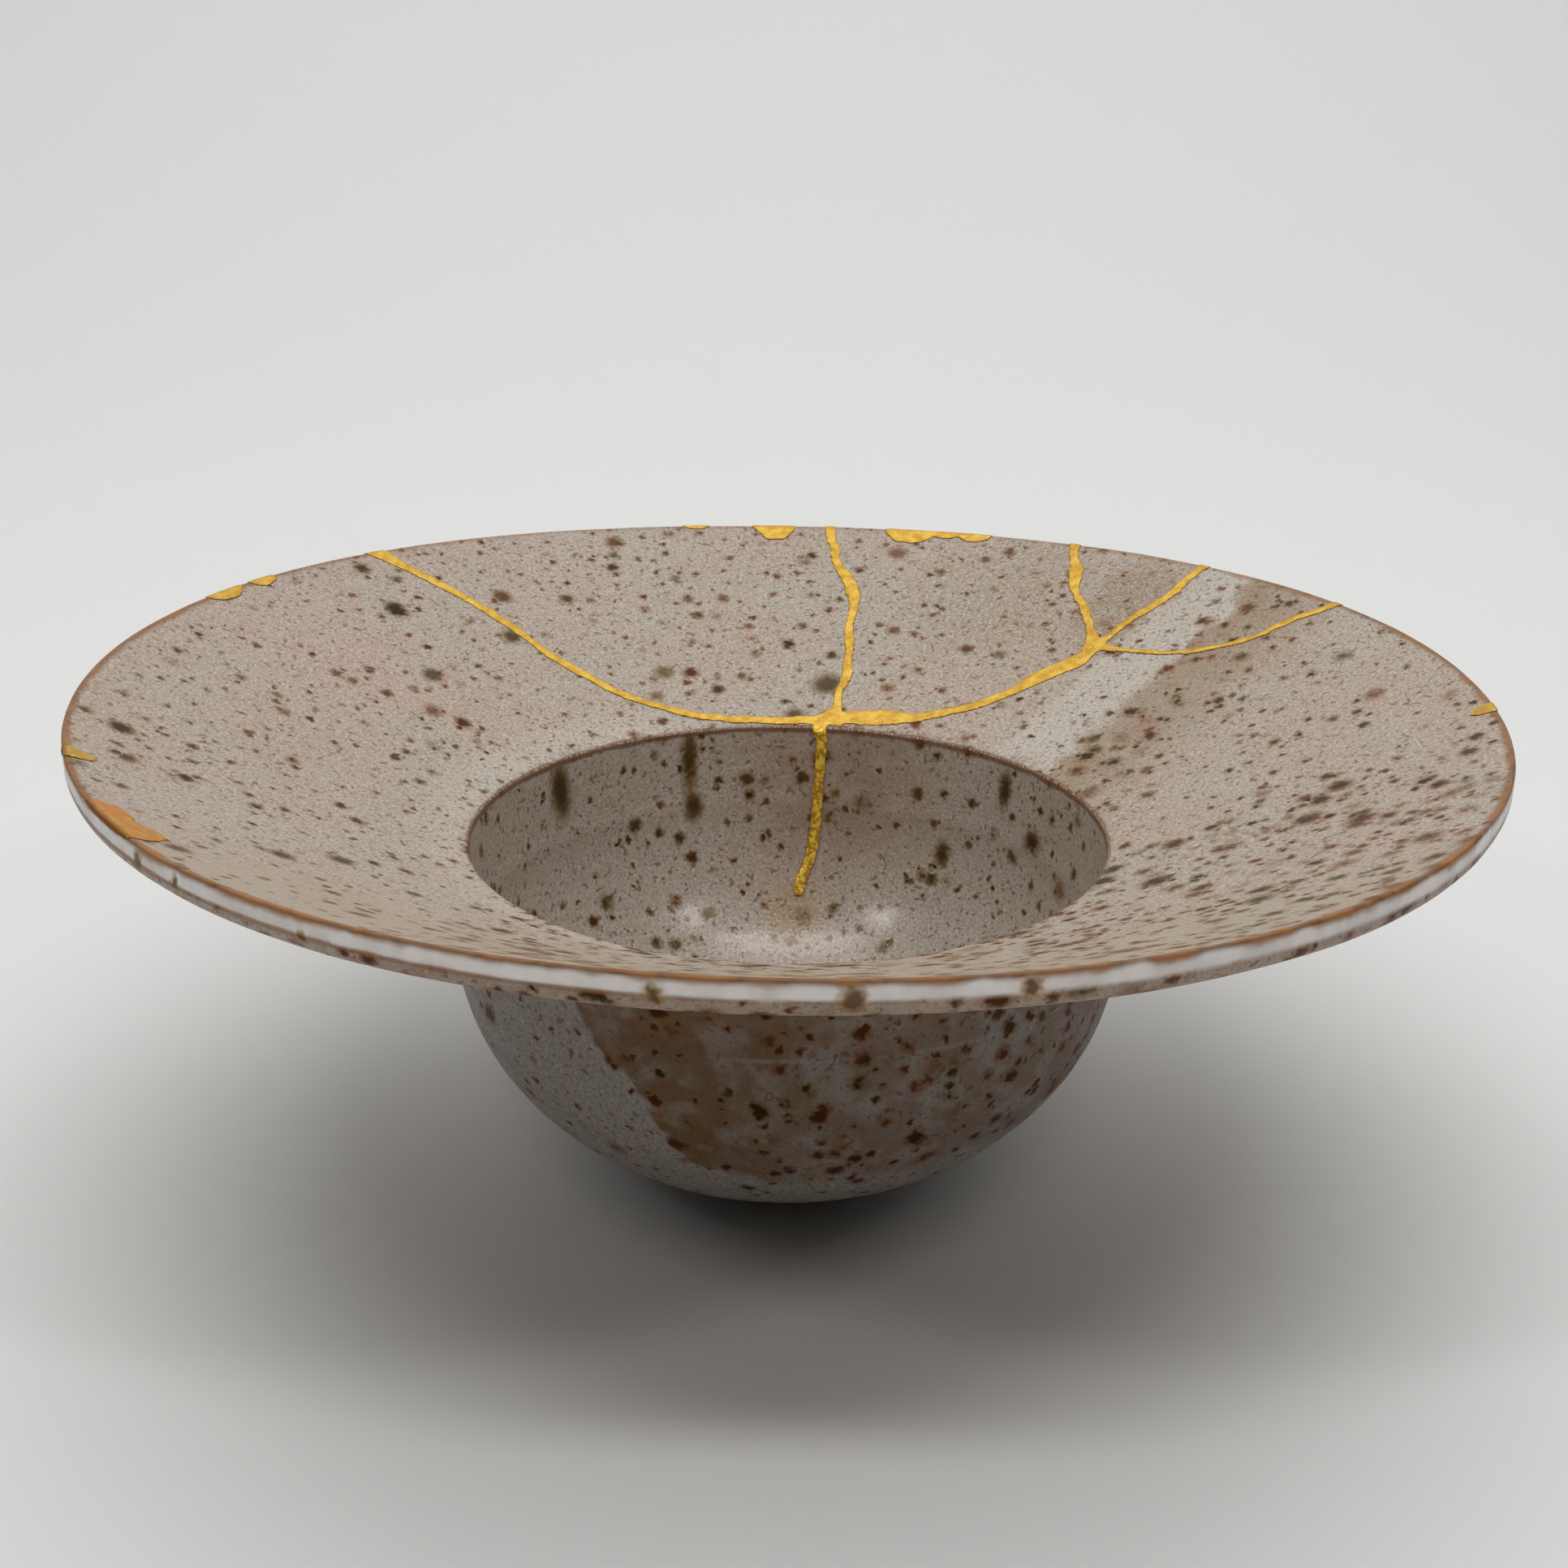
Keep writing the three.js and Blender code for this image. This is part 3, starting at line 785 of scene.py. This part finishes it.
def glaze_material():
    """Speckled oatmeal glaze: mottled, poured in places, spotted with iron and burnt to rust at the edges."""
    hues = bpy.context.scene.kintsugi_glaze
    material = bpy.data.materials.new("speckled glaze")
    s = Shader(material)
    place = s.place_in_mm()
    x, y, z = s.parts_of(place)
    level = s.attribute("level") * 1000
    inside = s.attribute("inside")
    outside = 1 - inside
    radius = (x * x + y * y) ** 0.5
    in_well = s.ramp(radius, 58.2, 57.6) * inside
    calm = s.ramp(y, -45, -95) * inside

    cloud = s.noise(place, size=26, detail=1)
    mottle = s.noise(place, size=6.5, detail=2)
    drift = s.drift(place, size=9, detail=1)
    wander, wander_y, _ = s.parts_of(drift)
    grain = s.noise(place, size=0.55, detail=1)
    pepper = s.noise(place, size=1.0, detail=0)

    def near(centre, reach, soft, flat=True):
        """A soft round patch about a point, with a wandering outline."""
        span = s.distance(s.stretched(place, (1, 1, 0 if flat else 1)), centre)
        return s.ramp(span + wander * (reach * 0.9), reach + soft, reach - soft)

    # Ground colour, from greyish to pinkish brown
    base = s.blend(s.ramp(cloud * 0.55 + mottle * 0.45, 0.38, 0.62), hues.grey, hues.oat)

    # Where the glaze was poured, over the top of the brim
    across = (x - y) * DIAGONAL + wander * 9
    along = (x + y) * DIAGONAL
    pale = s.ramp(across, -3.5, 0.5) * s.ramp(across, 14.2, 11.6) * s.ramp(along, 50, 66)
    bared = s.ramp(across + mottle * 3, 13.2, 16.4) * s.ramp(across, 44, 18) * s.ramp(along, 44, 60) * 0.9
    bared_sherd = s.greatest(near(*BARED_SHERD), near(*BARED_BESIDE) * 0.45)
    pink = s.greatest(near(*PINK_LEFT), near(*PINK_BACK) * 0.6)
    whiter = s.ramp(radius + wander * 8, 72, 58) * s.ramp(x, -5, -30) * s.ramp(y, 90, 50)
    top = s.blend(pink * 0.6, base, hues.pink)
    top = s.blend(s.greatest(bared, bared_sherd) * s.ramp(mottle, 0.25, 0.6, 0.5, 0.95), top, hues.bared)
    top = s.blend(s.greatest(pale, whiter * 0.8) * 0.85, top, hues.pale)

    # Where it was poured over the outside
    pour = s.ramp(x + z * 0.7 + wander * 10 + mottle * 7 + grain - 8.2, -0.9, 0.9) * s.ramp(y, -5, -20)
    rust = pour * s.ramp(x + wander_y * 36, 16, -12)
    brown = pour * s.ramp(z + wander * 6, 20, 26)
    outer = s.blend(s.ramp(mottle, 0.4, 0.62) * 0.5, hues.outer_pale, hues.outer_oat)
    outer = s.blend(brown * s.ramp(mottle, 0.36, 0.6, 0.35, 1.0), outer, hues.outer_brown)
    outer = s.blend(brown * rust * s.ramp(mottle, 0.3, 0.58, 0.35, 1.0), outer, hues.outer_rust)
    neck_line = s.ramp(s.math("ABSOLUTE", level - NECK_LINE[0]), 0.6, 0.2) * s.ramp(x, -14, -4)
    outer = s.blend(neck_line * 0.5, outer, hues.outer_pale)
    # Painted light: the underside just below the rim is lightened towards the rim's edge, fading to the darker
    # outside further in
    outer = s.blend(s.ramp(level, 84, 89.5) * s.ramp(radius, 112, 122) * 0.8, outer, hues.oat)

    # The well is browner round the crack and under its end
    tanned = near(*TANNED_WELL) * s.ramp(z, 24, 48) * 0.75
    burnt = near(*BURNT_WELL, flat=False)
    well = s.blend(0.6, base, hues.well)
    well = s.blend(tanned * s.ramp(mottle, 0.3, 0.6, 0.5, 1.0), well, hues.well_brown)
    well = s.blend(burnt * 0.6, well, hues.well_burnt)
    colour = s.blend(in_well, s.blend(inside, outer, top), well)

    # Salt-and-pepper grain
    bare = s.greatest(s.greatest(bared * inside, tanned * in_well) * 0.8, calm * 0.85)
    bare = s.greatest(bare, outside * (brown * 0.4 + 0.5))
    colour = s.blend(calm * 0.45, colour, hues.front)
    colour = s.blend(s.ramp(grain, 0.28, 0.52, 0.38, 0.0) * (1 - calm * 0.75), colour, hues.dark_grain)
    colour = s.blend(s.ramp(grain, 0.5, 0.72, 0.0, 0.5) * (1 - bare), colour, hues.light_grain)
    colour = s.blend(s.ramp(pepper, 0.31, 0.26, 0.0, 0.6) * (1 - calm), colour, hues.pepper)

    # Iron spots with olive halos, in three sizes
    ragged = s.drift(place, size=1.0, detail=0)
    spot_place = s.vector("ADD", place, s.resized(ragged, 1.3))
    busy = brown * 0.42 + bared * (inside * 0.3)
    cores = []
    halos = []
    for step, largest, share in IRON_SPOTS:
        cells = s.node("ShaderNodeTexVoronoi", {}, {"Vector": spot_place, "Scale": 1 / step})
        chance, size, dark = s.parts_of(Value(s, cells.outputs["Color"]))
        # Fewer large spots and more small ones in the well, and fewer small ones at the front
        odds = chance - busy + in_well * (0.1 if step < 10 else -0.1) + calm * (0.25 if step < 5 else 0.0)
        reach = s.ramp(odds, share + 0.02, share - 0.02) * (0.45 + size * 0.55) * (largest + busy * largest)
        span = Value(s, cells.outputs["Distance"]) * step / (reach + 0.001)
        cores.append(s.ramp(span, 0.95, 0.4) * (0.5 + dark * 0.45))
        halos.append(s.ramp(span, 1.5, 0.6))
    core = s.greatest(*cores) * (1 - calm * 0.35)
    halo = s.greatest(*halos)

    # Marks that stand out
    rough_place = s.vector("ADD", spot_place, s.stretched(drift, (2, 2, 2)))
    for bx, by, reach, strength in BRIM_BLOTS:
        span = s.distance(s.stretched(rough_place, LEVEL_PLANE), (bx, by, 0))
        core = s.greatest(core, s.ramp(span, reach * 1.1, reach * 0.5) * strength * inside)
        halo = s.greatest(halo, s.ramp(span, reach * 1.6, reach * 0.8) * inside)
    for bx, by, bz, reach, stretch in WELL_DRIPS:
        span = s.distance(s.stretched(rough_place, (1, 1, 1 / stretch)), (bx, by, bz / stretch))
        core = s.greatest(core, s.ramp(span, reach * 1.2, reach * 0.3) * 0.75 * in_well)
        halo = s.greatest(halo, s.ramp(span, reach * 1.8, reach * 0.7) * in_well)

    hue = s.ramp(s.noise(place, size=8, detail=0) + outside * 0.12 - in_well * 0.1, 0.42, 0.6)
    core = s.math("MINIMUM", core * (1 + outside * 0.4), 0.97)
    colour = s.blend(halo * (0.75 + in_well * 0.15), colour, s.blend(hue, hues.halo, hues.red_halo))
    colour = s.blend(core * (1 - in_well * 0.15), colour, s.blend(hue * 0.7, hues.iron, hues.red_iron))

    # Rust at the edges: the well's, and the rim's upper and lower
    def edge(at_radius, at_level, width):
        """A line round the pot, with an uneven width."""
        out = radius - at_radius
        up = level - at_level
        return s.ramp((out * out + up * up) ** 0.5 + (mottle - 0.5) * (width * 1.2), width, width * 0.35)

    # Noise on these changes round the pot alone, as if it all lay 90 mm from the axis
    spokes = s.stretched(s.vector("NORMALIZE", s.stretched(place, LEVEL_PLANE)), (90, 90, 90))
    well_edge = edge(*WELL_EDGE_RUST) * s.ramp(grain, 0.25, 0.5, 0.7, 1.0)
    feather = s.ramp(s.noise(spokes, size=1.6, detail=2), 0.42, 0.66)
    feather = feather * s.ramp(radius + wander * 3, 60.6, 58.4) * s.ramp(level, 65.2, 65.9)
    # Painted highlight: a dotted light line along the well's sharp edge stands in for the glints that edge
    # catches
    painted_glints = edge(*PAINTED_WELL_EDGE_GLINTS) * s.ramp(s.noise(spokes, size=0.5, detail=1), 0.5, 0.56)
    face = s.ramp(radius, 123.9, 124.6) * s.ramp(level, 89.6, 90.9) * s.ramp(level, 93.3, 92.5)
    rim_top = edge(*RIM_TOP_RUST)
    rim_low = edge(*RIM_LOW_RUST) * s.ramp(mottle + (x * -0.004), 0.42, 0.62, 0.1, 0.75)
    colour = s.blend(s.greatest(well_edge, feather * 0.45) * 0.9, colour, hues.well_rust)
    colour = s.blend(painted_glints * 0.8, colour, hues.painted_well_edge_glint)
    white = s.blend(s.ramp(mottle, 0.35, 0.65), hues.rim_grey, hues.rim_white)
    colour = s.blend(face * 0.9, colour, white)
    rusty = s.greatest(rim_top, rim_low) * s.ramp(y, 118, 40, 0.45, 1.0)
    rust_hue = s.blend(s.ramp(mottle, 0.35, 0.65), hues.rim_rust, hues.rim_burnt)
    colour = s.blend(rusty * 0.9, colour, rust_hue)
    for bx, by, reach in RIM_BLOTS:
        squashed = s.stretched(rough_place, (1, 1, RIM_BLOT_SQUASH))
        span = s.distance(squashed, (bx, by, RIM_BLOT_LEVEL * RIM_BLOT_SQUASH))
        colour = s.blend(s.ramp(span, reach * 1.4, reach * 0.7) * 0.75, colour, hues.rim_blot_ring)
        colour = s.blend(s.ramp(span, reach, reach * 0.4) * 0.85, colour, hues.rim_blot)

    rough = (grain * 0.7 + pepper * 0.3) * (1 - calm * 0.7)
    s.fill("Principled BSDF", {
        "Base Color": colour,
        "Metallic": core * 0.85,
        "Roughness": s.ramp(grain, 0.3, 0.7, 0.56, 0.44) - face * 0.12 - in_well * 0.2,
        "Specular IOR Level": 0.3,
        "Coat Weight": in_well * 0.5,
        "Coat Roughness": 0.2,
        "Normal": s.bump(0.7, 0.2 * MM, rough),
    })
    return material


def gold_material():
    """Gold leaf on dark lacquer, which shows at the edges."""
    hues = bpy.context.scene.kintsugi_gold
    material = bpy.data.materials.new("gold leaf")
    s = Shader(material)
    place = s.place_in_mm()
    x, y, z = s.parts_of(place)
    in_well = s.ramp(z, 66.6, 65.4)
    lift = s.attribute("lift") * 1000
    mottle = s.noise(place, size=2.2, detail=3)
    fine = s.noise(place, size=0.35, detail=2)
    rope = s.noise(place, size=0.9, detail=1)
    leaf = s.ramp(lift + (fine - 0.5) * 0.16, 0.06, 0.14)
    colour = s.blend(s.ramp(mottle, 0.35, 0.65), hues.leaf, hues.dull)
    colour = s.blend(s.ramp(fine, 0.52, 0.7) * 0.5, colour, hues.glint)
    # Painted light and shade: the bead's gold goes from a shaded colour to a highlight colour along the rope
    # noise, over its real bump
    bead = s.blend(s.ramp(rope, 0.4, 0.62), hues.painted_bead_shade, hues.painted_bead_highlight)
    colour = s.blend(in_well * 0.9, colour, bead)
    tarnished = s.ramp(y, -40, -60) * s.ramp(x, -60, -90)
    colour = s.blend(tarnished * s.ramp(mottle, 0.3, 0.6, 0.4, 0.9), colour, hues.tarnish)
    rim_line = s.ramp((x * x + y * y) ** 0.5, 123.8, 124.6) * s.ramp(y, -20, -40)
    colour = s.blend(rim_line * 0.85, colour, hues.rim_line)
    s.fill("Principled BSDF", {
        "Base Color": s.blend(leaf, hues.lacquer, colour),
        "Metallic": leaf * (0.72 - in_well * 0.35),
        "Roughness": s.ramp(mottle, 0.3, 0.7, 0.42, 0.55) - in_well * 0.12,
        "Normal": s.bump(0.6, 0.25 * MM, mottle * 0.6 + fine * 0.4 + rope * in_well * 2),
    })
    return material


def floor_material():
    """Plain matt white for the floor and the backdrop."""
    material = bpy.data.materials.new("floor")
    Shader(material).fill("Principled BSDF", {"Base Color": FLOOR_COLOUR, "Roughness": 0.8})
    return material


class KINTSUGI_OT_throw_pot(bpy.types.Operator):
    """Throws the pot, and breaks it into its body and four sherds"""

    bl_idname = "kintsugi.throw_pot"
    bl_label = "Throw and break the pot"

    def execute(self, context):
        pot = current_pot(context)
        ceramic = pot.thrown("ceramic")
        tools = [break_slab(pot, name, -BREAK_INSET) for name in BREAKS] + [crack_slab(pot, -BREAK_INSET)]
        tools += [flake(pot, degrees, lobes, -FLAKE_INSET) for _, degrees, lobes in FLAKES]
        carve(ceramic, "DIFFERENCE", tools)
        discard(*tools)
        note_place(ceramic, pot)
        groups = islands(ceramic)
        if len(groups) < 1 + len(SHERDS):
            raise RuntimeError("the breaks didn't part all the sherds")
        glaze = glaze_material()
        body, *rest = groups[: 1 + len(SHERDS)]
        pieces = [part_of(ceramic, faces, "sherd") for faces in rest]
        pieces.sort(key=lambda piece: -math.atan2(*reversed(middle_of(piece).xy)))
        finish_piece(part_of(ceramic, body, "bowl"), glaze, "glaze", "bowl_body")
        for piece, node in zip(pieces, SHERDS):
            piece.name = node.replace("sherd", "broken_sherd")
            finish_piece(piece, glaze, "glaze", node)
        discard(ceramic)
        return {"FINISHED"}


def middle_of(piece):
    """The middle of a piece's box."""
    corners = [Vector(corner) for corner in piece.bound_box]
    return sum(corners, Vector()) / len(corners)


def gild(solid, shell, voxel, name):
    """Turns a solid that crosses the wall into a fill with a soft, slightly domed face."""
    carve(solid, "INTERSECT", [shell])
    remesh = solid.modifiers.new("soften", "REMESH")
    remesh.mode = "VOXEL"
    remesh.voxel_size = voxel
    smooth = solid.modifiers.new("smooth", "SMOOTH")
    smooth.factor = 0.5
    smooth.iterations = 2
    apply_modifiers(solid)
    solid.name = name


def glaze_under(pot):
    """The pot's surface, for heights over it."""
    glazed = pot.thrown("glazed")
    under = BVHTree.FromObject(glazed, bpy.context.evaluated_depsgraph_get())
    discard(glazed)
    return under


def shared_gold():
    """The gold, made once and shared by all its pieces."""
    return bpy.data.materials.get("gold leaf") or gold_material()


class KINTSUGI_OT_lay_seams(bpy.types.Operator):
    """Lays the gold in the breaks and the crack, as one connected seam"""

    bl_idname = "kintsugi.lay_seams"
    bl_label = "Lay the gold seams"

    def execute(self, context):
        pot = current_pot(context)
        seams, *others = [break_slab(pot, name, 0) for name in BREAKS] + [crack_slab(pot, 0)]
        carve(seams, "UNION", others)
        discard(*others)
        shell = pot.thrown("shell", pot.mend.proud, pot.mend.well_proud)
        gild(seams, shell, pot.mend.grain, "seams")
        discard(shell)
        note_lift(seams, glaze_under(pot))
        finish_piece(seams, shared_gold(), "gold", "gold_seams")
        return {"FINISHED"}


class KINTSUGI_OT_fill_flakes(bpy.types.Operator):
    """Fills the flaked places of the rim with gold"""

    bl_idname = "kintsugi.fill_flakes"
    bl_label = "Fill the rim's flakes"

    def execute(self, context):
        pot = current_pot(context)
        shell = pot.thrown("shell", pot.mend.proud, pot.mend.well_proud)
        under = glaze_under(pot)
        for node, degrees, lobes in FLAKES:
            fill = flake(pot, degrees, lobes, 0)
            gild(fill, shell, pot.mend.grain, node.replace("gold_fill", "rim_fill"))
            note_lift(fill, under)
            finish_piece(fill, shared_gold(), "gold", node)
        discard(shell)
        return {"FINISHED"}


# The camera, fitted to the photo: its angles in radians and its focal length over the picture's width
CAMERA_PLACE = Vector((3.63, -412.82, 229.11)) * MM
CAMERA_PITCH = 0.35727
CAMERA_YAW = -0.010755
CAMERA_ROLL = -0.008541
FOCAL_SHARE = 3000 / 1932
SENSOR_MM = 36

# Lamps: name, place and size in metres, watts and the place each faces
BOWL = (0, 0, 0.08)
LAMPS = (
    ("key", (0, -0.53, 1.25), (1.25, 0.16), 6.0, BOWL),
    ("front left", (-0.7, -0.6, 0.88), (0.12, 0.12), 1.2, BOWL),
    ("front right", (0.72, -0.57, 0.88), (0.12, 0.12), 1.2, BOWL),
    ("overhead", (0, 0.15, 1.35), (1.4, 1.1), 4.6, BOWL),
    ("back", (0, 1.0, 1.3), (2.0, 0.5), 5, BOWL),
    ("backdrop", (0, 0.75, 1.8), (2.4, 0.3), 7.5, (0, 1.5, 0.9)),
)

# The floor and the backdrop, in metres
FLOOR_HALF_WIDTH = 4
FLOOR_FRONT = -2
CURVE_START = 0.5
CURVE_RADIUS = 0.9
CURVE_STEPS = 24
BACKDROP_TOP = 4
FLOOR_COLOUR = (0.8, 0.8, 0.79, 1)
SKY_COLOUR = (1, 0.99, 0.98, 1)


def add_light(name, place, size, watts, facing):
    """A rectangular lamp that faces a place."""
    light = bpy.data.lights.new(name, "AREA")
    light.shape = "RECTANGLE"
    light.size, light.size_y = size
    light.energy = watts
    lamp = bpy.data.objects.new(name, light)
    turn = (Vector(facing) - Vector(place)).to_track_quat("-Z", "Y")
    lamp.matrix_world = Matrix.Translation(place) @ turn.to_matrix().to_4x4()
    bpy.context.scene.collection.objects.link(lamp)


def sweep():
    """The floor, which curves up behind into the backdrop."""
    bm = bmesh.new()
    line = [(FLOOR_FRONT, 0), (CURVE_START, 0)]
    for i in range(1, CURVE_STEPS + 1):
        angle = i * math.pi / (2 * CURVE_STEPS)
        y = CURVE_START + CURVE_RADIUS * math.sin(angle)
        line.append((y, CURVE_RADIUS - CURVE_RADIUS * math.cos(angle)))
    line.append((CURVE_START + CURVE_RADIUS, BACKDROP_TOP))
    points = [bm.verts.new((-FLOOR_HALF_WIDTH, y, z)) for y, z in line]
    edges = [bm.edges.new(pair) for pair in zip(points, points[1:])]
    side = bmesh.ops.extrude_edge_only(bm, edges=edges)["geom"]
    far = [v for v in side if isinstance(v, bmesh.types.BMVert)]
    bmesh.ops.translate(bm, verts=far, vec=(2 * FLOOR_HALF_WIDTH, 0, 0))
    bmesh.ops.recalc_face_normals(bm, faces=bm.faces)
    floor = object_from(bm, "floor")
    floor.data.polygons.foreach_set("use_smooth", [True] * len(floor.data.polygons))
    return floor


def studio_world():
    """Soft light that falls off towards the horizon in front."""
    world = bpy.data.worlds.new("studio")
    s = Shader(world)
    _, y, z = s.parts_of(Value(s, s.node("ShaderNodeTexCoord").outputs["Generated"]))
    strength = s.ramp(z + y * 0.6, -0.1, 1.1, to_low=0.02, to_high=0.28)
    s.fill("Background", {"Color": SKY_COLOUR, "Strength": strength})
    return world


class KINTSUGI_OT_set_stage(bpy.types.Operator):
    """Sets the floor, the lights and the camera"""

    bl_idname = "kintsugi.set_stage"
    bl_label = "Set the stage"

    def execute(self, context):
        scene = context.scene
        floor = sweep()
        floor.data.materials.append(floor_material())
        camera = bpy.data.objects.new("camera", bpy.data.cameras.new("camera"))
        camera.data.sensor_width = SENSOR_MM
        camera.data.lens = SENSOR_MM * FOCAL_SHARE
        turn = Matrix.Rotation(-CAMERA_YAW, 4, "Z") @ Matrix.Rotation(math.pi / 2 - CAMERA_PITCH, 4, "X")
        camera.matrix_world = Matrix.Translation(CAMERA_PLACE) @ turn @ Matrix.Rotation(-CAMERA_ROLL, 4, "Z")
        scene.collection.objects.link(camera)
        scene.camera = camera
        scene.world = studio_world()
        for lamp in LAMPS:
            add_light(*lamp)
        scene.view_settings.view_transform = "Standard"
        return {"FINISHED"}


class KINTSUGI_PT_panel(bpy.types.Panel):
    """Lists the sizes and the steps"""

    bl_idname = "KINTSUGI_PT_panel"
    bl_label = "Kintsugi bowl"
    bl_space_type = "VIEW_3D"
    bl_region_type = "UI"
    bl_category = "Kintsugi"

    def draw(self, context):
        for group, kind in GROUPS.items():
            for name in kind.__annotations__:
                label = name.replace("_", " ").capitalize()
                self.layout.prop(getattr(context.scene, group), name, text=label)
        for step in STEPS:
            self.layout.operator(step.bl_idname)


GROUPS = {
    "kintsugi_pot": PotSizes,
    "kintsugi_mend": MendSizes,
    "kintsugi_glaze": GlazeColours,
    "kintsugi_gold": GoldColours,
}
STEPS = (KINTSUGI_OT_set_stage, KINTSUGI_OT_throw_pot, KINTSUGI_OT_lay_seams, KINTSUGI_OT_fill_flakes)
CLASSES = (*GROUPS.values(), *STEPS, KINTSUGI_PT_panel)


def register():
    for cls in CLASSES:
        bpy.utils.register_class(cls)
    for name, kind in GROUPS.items():
        setattr(bpy.types.Scene, name, PointerProperty(type=kind))


def unregister():
    for name in GROUPS:
        delattr(bpy.types.Scene, name)
    for cls in reversed(CLASSES):
        bpy.utils.unregister_class(cls)


def main():
    """Runs every step."""
    register()
    bpy.ops.kintsugi.set_stage()
    bpy.ops.kintsugi.throw_pot()
    bpy.ops.kintsugi.lay_seams()
    bpy.ops.kintsugi.fill_flakes()


if __name__ == "__main__":
    main()
